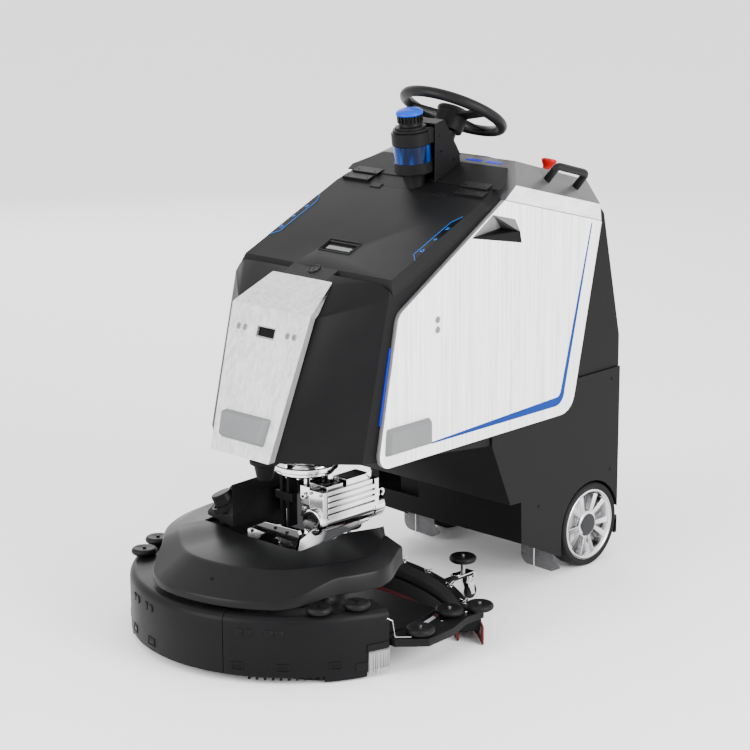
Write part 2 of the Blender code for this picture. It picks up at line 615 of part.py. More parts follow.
def shroud_section(angle):
    """Cross-section of the horseshoe cover: sloping top, crease, flank and rim, 5 mm thick."""
    turn = abs(angle)
    inner = 0.145 / math.cos(math.radians(turn)) if turn < 49 else 0.1668 / math.sin(math.radians(turn))
    inner += 0.078 * smoothstep(turn, 84, 104)
    lift = smoothstep(turn, 36, 66)
    tail = smoothstep(turn, 78, 104)
    rim_r = 0.390 - 0.034 * lift - 0.012 * tail
    crease_r = 0.306
    rim_z = 0.176 + 0.040 * lift + 0.012 * tail
    crease_z = 0.246 + 0.010 * lift + 0.014 * tail
    top_z = 0.262 + 0.006 * lift + 0.026 * tail
    loop = [(inner, top_z), (crease_r, crease_z), (rim_r, rim_z + 0.018), (rim_r, rim_z),
            (rim_r - 0.005, rim_z), (rim_r - 0.006, rim_z + 0.014), (crease_r - 0.002, crease_z - 0.006),
            (inner, top_z - 0.006)]
    return [deck_point(angle, radius, z) for radius, z in loop]


def skirt_section(angle):
    """Cross-section of the skirt: upright wall, rounded shoulder and a narrow flat top."""
    loop = [(DECK_R - 0.006, SKIRT_LOW), (DECK_R, SKIRT_LOW), (DECK_R, SKIRT_TOP - 0.024),
            (DECK_R - 0.007, SKIRT_TOP - 0.007), (DECK_R - 0.024, SKIRT_TOP), (0.335, SKIRT_TOP),
            (0.335, SKIRT_TOP - 0.006), (DECK_R - 0.028, SKIRT_TOP - 0.006),
            (DECK_R - 0.012, SKIRT_TOP - 0.014), (DECK_R - 0.006, SKIRT_TOP - 0.028)]
    return [deck_point(angle, radius, z) for radius, z in loop]


def motor_cover():
    """Cover of the deck's drive motor, on the machine's right of the turret, with a round cap."""
    inner_face = [(-0.766, 0.346), (-0.900, 0.341), (-0.985, 0.300), (-0.985, 0.272), (-0.766, 0.272)]
    points = [(-0.066, y, z) for y, z in inner_face]
    points += [(-0.121, -0.935, 0.357), (-0.121, -0.770, 0.360), (-0.190, -0.955, 0.270),
               (-0.190, -0.955, 0.280), (-0.190, -0.770, 0.300), (-0.190, -0.770, 0.325),
               (-0.150, -0.766, 0.286)]
    cover = make("motor_cover", convex([Vector(point) for point in points]), BLACK, 0.4)
    join(cover, disc(0.026, -0.015, 0.028, (-0.127, -0.952, 0.312), (-0.30, -0.25, 0.92), 16))


def roller(name, centre, radius, seat):
    """A guide roller on a short post that stands on the surface at the height of its seat."""
    post = seat + GAP - centre[2]
    profile = [(0, post), (0.0065, post), (0.0065, -0.009), (radius - 0.007, -0.009), (radius, -0.004),
               (radius, 0.004), (radius - 0.007, 0.009), (0, 0.009)]
    make(name, turned(profile, centre, (0, 0, 1), 16), RUBBER, 0.5, origin=centre, smooth=True)


# ---- squeegee ---------------------------------------------------------------------------------------
def squeegee():
    beam = swept([beam_section(angle) for angle in spread_angles(-39.5, 39.5, 20)])
    frame = make("squeegee_beam", beam, BLACK, 0.45, origin=(0, -0.905, 0.100))
    for side, sign in (("left", 1), ("right", -1)):
        outline = [(sign * x, y) for x, y in ((0.372, -0.917), (0.410, -0.917), (0.466, -0.860),
                                              (0.462, -0.770), (0.436, -0.690), (0.436, -0.628),
                                              (0.396, -0.628), (0.372, -0.690), (0.396, -0.800))]
        join(frame, prism(outline, "Z", 0.066, ARM_TOP))
        low, high = sorted((sign * (CASTER_X - 0.012), sign * (CASTER_X + 0.012)))
        join(frame, box((low, -0.530, 0.066), (high, -0.405, BRACKET_TOP)))
        for row, (x, y, z) in SIDE_ROLLERS.items():
            seat = BRACKET_TOP if row == "caster" else ARM_TOP
            roller(f"squeegee_roller_{row}_{side}", (sign * x, y, z), SIDE_ROLLER_R, seat)
        caster(side, sign)
    for name, outer in (("rear", SQUEEGEE_R), ("front", SQUEEGEE_R - 0.056)):
        reach = SQUEEGEE_HALF if name == "rear" else SQUEEGEE_HALF - 3
        blade = swept([blade_section(angle, outer) for angle in spread_angles(-reach, reach, 24)])
        make(f"squeegee_blade_{name}", blade, DARK_RED, 0.55)


def beam_section(angle):
    """The beam narrows and drops a little towards its two ends."""
    end = smoothstep(abs(angle), 20, 39)
    inner, outer = SQUEEGEE_R - 0.056 + GAP, SQUEEGEE_R - 0.005 - GAP
    middle = (inner + outer) / 2
    top = 0.088 - 0.014 * end
    loop = [(inner, 0.030), (outer, 0.030), (outer, top - 0.016), (middle + 0.010, top), (middle - 0.010, top),
            (inner, top - 0.016)]
    return [squeegee_point(angle, radius, z) for radius, z in loop]


def blade_section(angle, outer):
    loop = [(outer - 0.005, 0.0008), (outer, 0.0008), (outer, BLADE_H), (outer - 0.005, BLADE_H)]
    return [squeegee_point(angle, radius, z) for radius, z in loop]


def caster(side, sign):
    """Swivel fork with a small trailing wheel behind the squeegee."""
    x = sign * CASTER_X
    swivel = (x, CASTER_Y, 0.066)
    fork = make(f"caster_fork_{side}", disc(0.014, 0.0480, 0.0656, (x, CASTER_Y, 0), (0, 0, 1), 12), CHROME,
                0.2, 1.0, origin=swivel)
    for cheek in (-1, 1):
        near, far = sorted((x + cheek * 0.0085, x + cheek * 0.0115))
        join(fork, prism([(CASTER_Y - 0.010, 0.0520), (CASTER_Y + 0.012, 0.0520),
                          (CASTER_Y + CASTER_TRAIL + 0.006, CASTER_R - 0.006),
                          (CASTER_Y + CASTER_TRAIL - 0.006, CASTER_R - 0.006)], "X", near, far))
    hub = (x, CASTER_Y + CASTER_TRAIL, CASTER_R)
    profile = [(0, -0.0075), (CASTER_R - 0.003, -0.0075), (CASTER_R, -0.005), (CASTER_R, 0.005),
               (CASTER_R - 0.003, 0.0075), (0, 0.0075)]
    make(f"caster_wheel_{side}", turned(profile, hub, (1, 0, 0), 20), RUBBER, 0.6, origin=hub, smooth=True)


def main():
    clear_scene()
    machine = bpy.data.objects.new("machine", None)
    bpy.context.scene.collection.objects.link(machine)
    machine.location = (0, AXLE_TO_ORIGIN, 0)
    chassis()
    lower_casing()
    hull_shell()
    tank_lid()
    latch_and_lock()
    front_panel()
    side_panels()
    console()
    grab_handles()
    inner_units()
    rear_wheels()
    splash_flaps()
    sensor_tower()
    steering()
    turret()
    deck()
    squeegee()


main()
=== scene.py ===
"""Looks of the robotic floor scrubber: fine surfaces, trim, materials, floor, light and camera.

Places are given as in the CAD source, from the middle of the rear axle on the floor: x to the machine's
left, y to its rear, z up.  at() turns them into the frame's coordinates with the rear wheel's own box.
"""
import json
import math
import random

import bmesh
import bpy
from mathutils import Matrix, Vector


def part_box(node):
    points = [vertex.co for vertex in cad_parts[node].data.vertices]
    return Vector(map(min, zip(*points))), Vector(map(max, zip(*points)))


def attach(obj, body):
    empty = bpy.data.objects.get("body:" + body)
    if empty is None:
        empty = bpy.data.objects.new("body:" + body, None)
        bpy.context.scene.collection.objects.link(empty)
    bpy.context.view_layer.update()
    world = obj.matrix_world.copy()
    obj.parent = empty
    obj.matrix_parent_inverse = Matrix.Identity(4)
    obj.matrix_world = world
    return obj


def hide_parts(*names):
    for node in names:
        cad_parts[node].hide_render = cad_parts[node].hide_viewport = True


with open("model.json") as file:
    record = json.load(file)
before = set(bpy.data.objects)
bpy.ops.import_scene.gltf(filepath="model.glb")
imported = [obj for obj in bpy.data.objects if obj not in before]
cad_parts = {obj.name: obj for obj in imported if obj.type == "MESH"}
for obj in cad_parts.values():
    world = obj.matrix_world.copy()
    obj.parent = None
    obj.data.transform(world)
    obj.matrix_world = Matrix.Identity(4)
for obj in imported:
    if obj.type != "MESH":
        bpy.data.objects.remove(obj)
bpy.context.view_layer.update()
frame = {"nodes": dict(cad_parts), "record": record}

NODES = frame["nodes"]


def middle(node):
    low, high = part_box(node)
    return (Vector(low) + Vector(high)) / 2


AXLE = Vector((0, middle("rear_tyre_left").y, 0))
PANEL_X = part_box("side_panel_left")[1][0]
PANEL_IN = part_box("side_panel_left")[0][0]
LID_PITCH = math.radians(23.9)
LID_NORMAL = Vector((0, -math.sin(LID_PITCH), math.cos(LID_PITCH)))
HINGE = (-0.424, 1.041)           # y and z of the hood's hinge line
NOSE_FOOT = (-1.021, 0.472)       # y and z of the nose panel's lower edge
NOSE_LEAN = 0.3324                # how far its face leans back per metre of height
NOSE_NORMAL = Vector((0, -1, NOSE_LEAN)).normalized()
SIDES = (("left", 1), ("right", -1))
BODY_OF = {node: body for body, nodes in frame["record"]["behaviour"]["bodies"].items() for node in nodes}
UP = Vector((0, 0, 1))


def at(x, y, z):
    return Vector((x, y, z)) + AXLE


def on_lid(x, y, lift=0.0):
    """A point above the hood's sloping top."""
    return Vector((x, y, HINGE[1] + math.tan(LID_PITCH) * (y - HINGE[0]))) + LID_NORMAL * lift


def on_nose(x, z, lift=0.0):
    """A point in front of the nose panel's face."""
    return Vector((x, NOSE_FOOT[0] + NOSE_LEAN * (z - NOSE_FOOT[1]), z)) + NOSE_NORMAL * lift


def on_side(sign):
    """Places (y, z) and a lift on a side panel's outer face."""
    return lambda y, z, lift=0.0: Vector((sign * (PANEL_X + lift), y, z))


# ---- materials --------------------------------------------------------------------------------------
class Shader:
    """A node material with short calls for the textures that every surface here is made from."""

    def __init__(self, name, colour, roughness, metallic=0.0, **sockets):
        self.material = bpy.data.materials.new(name)
        self.material.use_nodes = True
        self.tree = self.material.node_tree
        self.shader = self.tree.nodes["Principled BSDF"]
        self.set(self.shader, "Base Color", (*colour, 1))
        self.set(self.shader, "Roughness", roughness)
        self.set(self.shader, "Metallic", metallic)
        for socket, value in sockets.items():
            self.set(self.shader, socket.replace("_", " "), value)
        self.place = self.add("ShaderNodeTexCoord").outputs["Object"]

    def set(self, node, socket, value):
        node.inputs[socket].default_value = value

    def add(self, kind, **values):
        node = self.tree.nodes.new(kind)
        for key, value in values.items():
            setattr(node, key, value)
        return node

    def link(self, source, target):
        self.tree.links.new(source, target)

    def scaled(self, scale, turn=(0, 0, 0)):
        """Object coordinates stretched along the axes, for grain and brushing."""
        mapping = self.add("ShaderNodeMapping")
        self.set(mapping, "Scale", scale)
        self.set(mapping, "Rotation", turn)
        self.link(self.place, mapping.inputs["Vector"])
        return mapping.outputs["Vector"]

    def noise(self, scale, detail=3.0, roughness=0.5, where=None):
        node = self.add("ShaderNodeTexNoise")
        self.set(node, "Scale", scale)
        self.set(node, "Detail", detail)
        self.set(node, "Roughness", roughness)
        self.link(where or self.place, node.inputs["Vector"])
        return node.outputs["Fac"]

    def spread(self, source, low, high, start=0.3, end=0.7):
        """Maps a texture's middle range onto low to high."""
        node = self.add("ShaderNodeMapRange")
        for socket, value in (("From Min", start), ("From Max", end), ("To Min", low), ("To Max", high)):
            self.set(node, socket, value)
        self.link(source, node.inputs["Value"])
        return node.outputs["Result"]

    def mix(self, factor, first, second):
        """A colour between two colours or colour outputs."""
        node = self.add("ShaderNodeMix", data_type="RGBA")
        self.link(factor, node.inputs["Factor"])
        for socket, value in (("A", first), ("B", second)):
            target = next(i for i in node.inputs if i.name == socket and i.type == "RGBA")
            if hasattr(value, "links"):
                self.link(value, target)
            else:
                target.default_value = (*value, 1)
        return next(o for o in node.outputs if o.type == "RGBA")

    def facing(self, axis):
        """How far the surface looks along the object's X (side), Y (rear) or Z (up)."""
        split = self.add("ShaderNodeSeparateXYZ")
        self.link(self.add("ShaderNodeTexCoord").outputs["Normal"], split.inputs["Vector"])
        return split.outputs[axis]

    def math(self, operation, *sources):
        """One step of arithmetic between outputs of nodes."""
        node = self.add("ShaderNodeMath", operation=operation)
        for source, target in zip(sources, node.inputs):
            self.link(source, target)
        return node.outputs["Value"]

    def colour(self, source):
        self.link(source, self.shader.inputs["Base Color"])

    def roughness(self, source):
        self.link(source, self.shader.inputs["Roughness"])

    def bump(self, height, strength, distance=0.0004):
        node = self.add("ShaderNodeBump")
        self.set(node, "Strength", strength)
        self.set(node, "Distance", distance)
        self.link(height, node.inputs["Height"])
        before = self.shader.inputs["Normal"].links
        if before:
            self.link(before[0].from_socket, node.inputs["Normal"])
        self.link(node.outputs["Normal"], self.shader.inputs["Normal"])

    def worn_edges(self, base, worn, width=0.002):
        """Lighter colour where a bevelled normal leaves the true one, as on rubbed edges."""
        bevel = self.add("ShaderNodeBevel", samples=4)
        self.set(bevel, "Radius", width)
        geometry = self.add("ShaderNodeNewGeometry")
        dot = self.add("ShaderNodeVectorMath", operation="DOT_PRODUCT")
        self.link(bevel.outputs["Normal"], dot.inputs[0])
        self.link(geometry.outputs["Normal"], dot.inputs[1])
        factor = self.spread(dot.outputs["Value"], 0.55, 0.0, 0.8, 0.99)
        return self.mix(factor, base, worn)


def plastic(name, colour, roughness, grain=900, bump=0.12, coat=0.0, patch=0.05, worn=None, gloss=0.08):
    """Moulded plastic: fine grain, soft patches in its gloss, a little dust and paler rubbed edges."""
    made = Shader(name, colour, roughness, Coat_Weight=coat, Coat_Roughness=0.15, Specular_IOR_Level=gloss)
    fine = made.noise(grain, 2.0, 0.6)
    broad = made.noise(6.0, 4.0, 0.6)
    lighter = tuple(c * 1.3 + 0.001 for c in colour)
    tint = made.mix(made.spread(broad, 0.0, 0.55), colour, lighter)
    made.colour(made.worn_edges(tint, worn or tuple(c * 2.4 + 0.004 for c in colour)))
    made.roughness(made.spread(broad, roughness - patch, roughness + patch))
    made.bump(fine, bump, 0.00025)
    return made.material


def brushed(name, colour, roughness, stretch, turn=(0, 0, 0), depth=0.16, metallic=0.75, edge=None,
            facing=(0.78, 0.98)):
    """Brushed metal: long fine streaks one way; edge is a painted shade, a darker colour given to faces that
    don't look sideways.
    """
    made = Shader(name, colour, roughness, metallic, Anisotropic=0.35)
    streak = made.noise(1.0, 6.0, 0.72, made.scaled(stretch, turn))
    long_streak = made.noise(1.0, 2.0, 0.5, made.scaled(tuple(s * 0.22 for s in stretch), turn))
    darker = tuple(c * (1 - depth) for c in colour)
    fine = made.mix(made.spread(streak, 0.0, 1.0, 0.36, 0.62), darker, colour)
    soft = made.mix(made.spread(long_streak, 0.0, 0.45, 0.35, 0.7), fine,
                    tuple(min(1, c * 1.06) for c in colour))
    # Painted shade: faces picked out by the facing range take the darker edge colour instead of the metal's
    # own; with the default range these are faces that don't look sideways, and a reversed range, as on the
    # nose, darkens the faces that do.
    if edge:
        painted_light_by_facing = made.spread(made.math("ABSOLUTE", made.facing("X")), 0.0, 1.0, *facing)
        shaded = made.mix(made.spread(streak, 0.0, 1.0, 0.36, 0.62), tuple(c * 0.8 for c in edge), edge)
        soft = made.mix(painted_light_by_facing, shaded, soft)
    made.colour(soft)
    made.roughness(made.spread(streak, roughness - 0.07, roughness + 0.1))
    made.bump(streak, 0.1, 0.0002)
    return made.material


def polished(name, colour, roughness=0.07, painted_reflection=0.0):
    """Bright plated metal whose faint smears vary its gloss and, in the colour, paint soft reflection
    blotches; the last argument, when set, paints dark reflections on faces turned certain ways, not the
    front.
    """
    made = Shader(name, colour, roughness, 1.0)
    # Painted reflection in part: these smears set the roughness and also darken the colour in soft blotches
    # that stand in for reflections.
    smear_and_painted_reflection = made.noise(22.0, 5.0, 0.65)
    tone = made.mix(made.spread(smear_and_painted_reflection, 0.0, 0.5), colour, tuple(c * 0.8 for c in colour))
    if painted_reflection:
        # Painted reflection: noise over the surface normals darkens whole faces turned certain ways, as if
        # they mirrored dark surroundings; faces looking to the front are kept bright.
        joined = made.add("ShaderNodeVectorMath", operation="MULTIPLY_ADD")
        made.link(made.add("ShaderNodeTexCoord").outputs["Normal"], joined.inputs[0])
        made.set(joined, 1, (painted_reflection, painted_reflection, painted_reflection))
        made.link(made.scaled((3.0, 3.0, 3.0)), joined.inputs[2])
        painted_light_by_facing = made.noise(1.0, 1.5, 0.5, joined.outputs["Vector"])
        not_front = made.spread(made.facing("Y"), 0.0, 1.0, -0.95, -0.6)
        dark = made.math("MULTIPLY", made.spread(painted_light_by_facing, 0.0, 1.0, 0.47, 0.57), not_front)
        tone = made.mix(dark, tone, (0.035, 0.035, 0.037))
    made.colour(tone)
    made.roughness(made.spread(smear_and_painted_reflection, roughness * 0.6, roughness * 2.2))
    made.bump(made.noise(260.0, 2.0), 0.05, 0.0002)
    return made.material


def rubber(name, colour, roughness=0.72, grain=500, bump=0.4):
    """Matt rubber: coarse grain under an uneven film of dust."""
    made = Shader(name, colour, roughness, Specular_IOR_Level=0.14)
    fine = made.noise(grain, 3.0, 0.6)
    dust = made.noise(14.0, 5.0, 0.7)
    made.colour(made.mix(made.spread(dust, 0.0, 0.5), colour, tuple(c * 1.5 + 0.002 for c in colour)))
    made.roughness(made.spread(dust, roughness - 0.12, roughness + 0.1))
    made.bump(fine, bump, 0.0003)
    return made.material


def glow(name, colour, strength, roughness=0.3):
    """A lit lens: the colour shines from inside a glossy cover, a little uneven as from separate lamps."""
    made = Shader(name, colour, roughness, Emission_Strength=strength, Specular_IOR_Level=0.15)
    uneven = made.noise(40.0, 2.0)
    tone = made.mix(made.spread(uneven, 0.0, 0.6), colour, tuple(min(1, c * 1.25 + 0.004) for c in colour))
    made.colour(tone)
    made.link(tone, made.shader.inputs["Emission Color"])
    made.roughness(made.spread(uneven, roughness - 0.05, roughness + 0.05))
    return made.material


def lens_band():
    """Dark blue coated window of the scanner, brighter in a few upright stripes."""
    made = Shader("scanner_window", (0.001, 0.02, 0.1), 0.1, 0.3, Coat_Weight=0.08, Coat_Roughness=0.03,
                  Specular_IOR_Level=0.1)
    tall = made.noise(1.0, 1.5, 0.5, made.scaled((60.0, 60.0, 1.0)))
    made.colour(made.mix(made.spread(tall, 0.0, 1.0, 0.48, 0.64), (0.0002, 0.0035, 0.02),
                         (0.0006, 0.03, 0.17)))
    made.roughness(made.spread(tall, 0.05, 0.14))
    return made.material


def clear_flap():
    """Soft clear plastic with a milky edge."""
    made = Shader("clear_flap", (0.12, 0.12, 0.125), 0.3, Transmission_Weight=0.25, IOR=1.3)
    haze = made.noise(30.0, 4.0)
    made.colour(made.mix(made.spread(haze, 0.0, 0.6), (0.13, 0.13, 0.135), (0.075, 0.075, 0.08)))
    made.roughness(made.spread(haze, 0.15, 0.34))
    made.bump(haze, 0.2, 0.0006)
    return made.material


MAT = {
    "body": plastic("body_black", (0.0046, 0.0046, 0.005), 0.46),
    "lid": plastic("lid_black", (0.0062, 0.0062, 0.0066), 0.42),
    "deck": plastic("deck_black", (0.0038, 0.0038, 0.0042), 0.36, gloss=0.12),
    "skirt": plastic("skirt_black", (0.0038, 0.0038, 0.0042), 0.42),
    "dark": plastic("trim_black", (0.0024, 0.0024, 0.0027), 0.38),
    "gloss": plastic("gloss_black", (0.0015, 0.0015, 0.0017), 0.16, bump=0.03, coat=0.04),
    "inner": plastic("tank_grey", (0.022, 0.022, 0.024), 0.5),
    # panel, nose and console carry painted shade: their edge colour darkens faces according to the way they
    # turn.
    "panel": brushed("panel_silver", (0.92, 0.925, 0.93), 0.45, (120, 120, 2.6), metallic=0.15, depth=0.34,
                     edge=(0.2, 0.2, 0.205)),
    "nose": brushed("nose_silver", (0.6, 0.605, 0.61), 0.42, (110, 110, 2.6), metallic=0.3, depth=0.38,
                    edge=(0.2, 0.2, 0.205), facing=(0.42, 0.2)),
    "console": brushed("console_silver", (0.8, 0.805, 0.81), 0.42, (120, 14, 60), (0.3, 0.2, 0.5),
                       metallic=0.3,
                       edge=(0.088, 0.088, 0.091), depth=0.25),
    "facet": brushed("facet_silver", (0.15, 0.15, 0.155), 0.36, (60, 200, 200), metallic=0.6),
    "block": plastic("sensor_silver", (0.135, 0.137, 0.14), 0.38, worn=(0.3, 0.3, 0.3)),
    # chrome and alloy carry painted dark reflections on faces turned certain ways.
    "chrome": polished("bright_metal", (0.9, 0.9, 0.91), painted_reflection=2.1),
    "alloy": polished("wheel_alloy", (0.86, 0.86, 0.87), 0.12, painted_reflection=1.1),
    "lock": polished("lock_metal", (0.02, 0.02, 0.021), 0.35),
    "steel": polished("satin_steel", (0.34, 0.34, 0.35), 0.26),
    "frame": plastic("frame_coat", (0.0036, 0.0036, 0.0042), 0.45),
    "tyre": rubber("tyre_rubber", (0.003, 0.003, 0.0034), 0.66),
    "soft": rubber("soft_black", (0.0024, 0.0024, 0.0027), 0.5, bump=0.2),
    "grip": rubber("grip_black", (0.0038, 0.0038, 0.0042), 0.44, bump=0.2),
    "blade": rubber("blade_red", (0.075, 0.005, 0.0055), 0.45, bump=0.15),
    "tuft": rubber("tuft_white", (0.32, 0.32, 0.32), 0.5, bump=0.1),
    "bristle": rubber("bristle_black", (0.003, 0.0032, 0.0038), 0.6),
    "red": plastic("stop_red", (0.36, 0.002, 0.003), 0.36, coat=0.04, worn=(0.45, 0.01, 0.01)),
    "blue": plastic("stripe_blue", (0.0006, 0.022, 0.155), 0.34, worn=(0.001, 0.03, 0.18)),
    "light": glow("light_blue", (0.0, 0.006, 0.34), 0.6),
    "icon": glow("icon_blue", (0.0, 0.085, 0.34), 0.5),
    "beacon": glow("beacon_blue", (0.0, 0.042, 0.34), 0.3, 0.4),
    "window": lens_band(),
    "flap": clear_flap(),
}


def finish_piece(name, built, body, look, bevel=0.0, segments=3, smooth=40):
    """Turns a bmesh into a shown piece that rides on a body, with rounded edges and smooth shading."""
    bmesh.ops.recalc_face_normals(built, faces=built.faces)
    mesh = bpy.data.meshes.new(name)
    built.to_mesh(mesh)
    built.free()
    piece = bpy.data.objects.new(name, mesh)
    bpy.context.scene.collection.objects.link(piece)
    mesh.materials.append(MAT[look])
    mesh.shade_smooth()
    mesh.set_sharp_from_angle(angle=math.radians(smooth))
    if bevel:
        rounding = piece.modifiers.new("Bevel", "BEVEL")
        rounding.width = bevel
        rounding.segments = segments
        rounding.limit_method = "ANGLE"
        rounding.angle_limit = math.radians(smooth - 8)
        rounding.harden_normals = True
        rounding.use_clamp_overlap = True
    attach(piece, body)
    return piece


def piece(name, body, look, builders, bevel=0.0, smooth=40, replaces=()):
    """One shown piece from one or several bmeshes that are given from the rear axle."""
    whole = bmesh.new()
    for built in builders if isinstance(builders, list) else [builders]:
        part = bpy.data.meshes.new("part")
        built.to_mesh(part)
        built.free()
        whole.from_mesh(part)
        bpy.data.meshes.remove(part)
    bmesh.ops.translate(whole, verts=whole.verts, vec=AXLE)
    made = finish_piece(name, whole, body, look, bevel, 3, smooth)
    if replaces:
        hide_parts(*([replaces] if isinstance(replaces, str) else replaces))
    return made


def refine(node, look, bevel=0.002, smooth=40, whole=True):
    """The CAD node's own shape with whole flat faces, rounded edges and smooth curves, in its place."""
    built = bmesh.new()
    built.from_mesh(NODES[node].data)
    bmesh.ops.remove_doubles(built, verts=built.verts, dist=2e-5)
    if whole:
        bmesh.ops.dissolve_limit(built, angle_limit=math.radians(1.0), verts=built.verts, edges=built.edges)
    made = finish_piece(f"{node}_skin", built, BODY_OF[node], look, bevel, 3, smooth)
    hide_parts(node)
    return made


def solid(points):
    """The solid stretched over some points, with flat faces kept whole."""
    built = bmesh.new()
    for point in points:
        built.verts.new(point)
    hull = bmesh.ops.convex_hull(built, input=built.verts)
    spare = {item for item in hull["geom_interior"] + hull["geom_unused"]
             if isinstance(item, bmesh.types.BMVert)}
    bmesh.ops.delete(built, geom=list(spare), context="VERTS")
    bmesh.ops.dissolve_limit(built, angle_limit=math.radians(0.5), verts=built.verts, edges=built.edges)
    return built


def block(low, high):
    return solid([(x, y, z) for x in (low[0], high[0]) for y in (low[1], high[1]) for z in (low[2], high[2])])


def raised(outline, place, low, high):
    """A flat outline of (u, v) laid out by place(u, v, lift), from one lift to another."""
    built = bmesh.new()
    lower = [built.verts.new(place(u, v, low)) for u, v in outline]
    upper = [built.verts.new(place(u, v, high)) for u, v in outline]
    built.faces.new(lower)
    built.faces.new(upper)
    for i in range(len(outline)):
        j = (i + 1) % len(outline)
        built.faces.new((lower[i], lower[j], upper[j], upper[i]))
    return built


def tapered(outline, place, low, high, inset):
    """A raised block whose top outline is drawn in towards its middle."""
    middle_u = sum(u for u, _ in outline) / len(outline)
    middle_v = sum(v for _, v in outline) / len(outline)
    points = [place(u, v, low) for u, v in outline]
    for u, v in outline:
        points.append(place(u - math.copysign(inset, u - middle_u), v - math.copysign(inset, v - middle_v),
                            high))
    return solid(points)


def ribbon(path, width):
    """Outline of a line of constant width along some points."""
    left, right = [], []
    for i, here in enumerate(path):
        ahead = (Vector(path[min(i + 1, len(path) - 1)]) - Vector(path[max(i - 1, 0)])).normalized()
        aside = Vector((-ahead.y, ahead.x)) * width / 2
        left.append(Vector(here) + aside)
        right.append(Vector(here) - aside)
    return left + right[::-1]


def rectangle(half_u, low_v, high_v):
    """Corners (u, v) of a rectangle that is centred across."""
    return [(-half_u, low_v), (half_u, low_v), (half_u, high_v), (-half_u, high_v)]


def lines(path, place, width, height):
    """Raised straight bars of constant width between the neighbouring points of a path."""
    return [raised(ribbon(pair, width), place, -0.001, height) for pair in zip(path, path[1:])]


def spun(profile, centre, axis=UP, steps=64):
    """A solid of revolution from a closed loop of (radius, height along the axis)."""
    built = bmesh.new()
    turn = UP.rotation_difference(Vector(axis)).to_matrix()
    rings = []
    for radius, height in profile:
        count = 1 if radius < 1e-6 else steps
        rings.append([built.verts.new(turn @ Vector((radius * math.cos(2 * math.pi * i / steps),
                                                     radius * math.sin(2 * math.pi * i / steps), height))
                                      + Vector(centre)) for i in range(count)])
    for lower, upper in zip(rings, rings[1:] + rings[:1]):
        if len(lower) + len(upper) == 2:
            continue
        for i in range(steps):
            j = (i + 1) % steps
            corners = [lower[i % len(lower)], lower[j % len(lower)], upper[j % len(upper)],
                       upper[i % len(upper)]]
            built.faces.new(list(dict.fromkeys(corners)))
    return built


def disc(radius, low, high, centre, axis=UP, steps=48, chamfer=0.0):
    return spun([(0, low), (radius, low), (radius, high - chamfer), (radius - chamfer, high), (0, high)]
                if chamfer else [(0, low), (radius, low), (radius, high), (0, high)], centre, axis, steps)


def hexagon(radius, low, high, centre, axis=UP):
    return disc(radius, low, high, centre, axis, 6)


def hoop(radius, thickness, centre, axis=UP, steps=96, around=20):
    """A ring with a round section."""
    turns = [2 * math.pi * i / around for i in range(around)]
    return spun([(radius + thickness * math.cos(turn), thickness * math.sin(turn)) for turn in turns],
                centre, axis,
                steps)


def round_sensors(ring_name, lens_name, spots, axis, ring, lens):
    """Small round sensors: a thin metal ring (radius, thickness) and a domed lens with this profile."""
    piece(ring_name, "body", "steel", [hoop(*ring, spot, axis, 32, 10) for spot in spots])
    piece(lens_name, "body", "block", [spun([(0, -0.002)] + lens, spot, axis, 32) for spot in spots])


def swept(sections):
    built = bmesh.new()
    rows = [[built.verts.new(point) for point in section] for section in sections]
    for row, following in zip(rows, rows[1:]):
        for i in range(len(row)):
            j = (i + 1) % len(row)
            built.faces.new((row[i], row[j], following[j], following[i]))
    built.faces.new(rows[0])
    built.faces.new(rows[-1])
    return built


def tube(route, radius, steps=20, bend=0.0):
    """A round tube along a route, with its inner corners rounded off."""
    points = [Vector(route[0])]
    for before, here, after in zip(route, route[1:], route[2:]):
        here = Vector(here)
        start = here + (Vector(before) - here).normalized() * bend
        end = here + (Vector(after) - here).normalized() * bend
        for i in range(9):
            share = i / 8
            points.append((1 - share) ** 2 * start + 2 * share * (1 - share) * here + share ** 2 * end)
    points.append(Vector(route[-1]))
    sections = []
    aside = (points[1] - points[0]).orthogonal().normalized()
    for i, here in enumerate(points):
        forward = (points[min(i + 1, len(points) - 1)] - points[max(i - 1, 0)]).normalized()
        aside = (aside - forward * aside.dot(forward)).normalized()
        other = forward.cross(aside)
        sections.append([here + radius * (aside * math.cos(turn) + other * math.sin(turn))
                         for turn in (2 * math.pi * k / steps for k in range(steps))])
    return swept(sections)


def arc(centre, radius, start, end, count=8):
    """Points (u, v) of an arc, in degrees."""
    return [(centre[0] + radius * math.cos(math.radians(start + (end - start) * i / count)),
             centre[1] + radius * math.sin(math.radians(start + (end - start) * i / count)))
            for i in range(count + 1)]


def smoothstep(value, low, high):
    share = min(max((value - low) / (high - low), 0), 1)
    return share * share * (3 - 2 * share)


# ---- hood and nose ----------------------------------------------------------------------------------
def hood():
    refine("hull_shell", "body", 0.004)
    refine("tank_lid", "lid", 0.0028)
    refine("lid_latch", "dark", 0.0012)
    refine("lock_barrel", "lock", 0.0006)
    lock = on_lid(0.004, -0.764)
    piece("lock_ring", "lid", "gloss", hoop(0.0145, 0.0024, lock, LID_NORMAL, 48, 12))
    latch = rectangle(0.0525, -0.6925, -0.6475)
    piece("latch_frame", "lid", "gloss", lines(latch + latch[:1], on_lid, 0.0035, 0.0012), 0.0006)
    lip = [on_lid(x, y, lift) for x in (-0.04, 0.04)
           for y, lift in ((-0.681, -0.004), (-0.681, -0.0026), (-0.668, -0.0042), (-0.668, -0.003))]
    piece("latch_lip", "latch", "block", solid(lip), 0.0005)
    cover = [(0.257, -0.376), (0.262, -0.354), (0.211, -0.2875)]
    cover += [(-x, y) for x, y in reversed(cover)]
    piece("hood_rear_cover", "body", "lid", raised(cover, on_lid, -0.0015, 0.0014), 0.001)
    for side, sign in SIDES:
        hinge_block(side, sign)
        edge_display(side, sign)


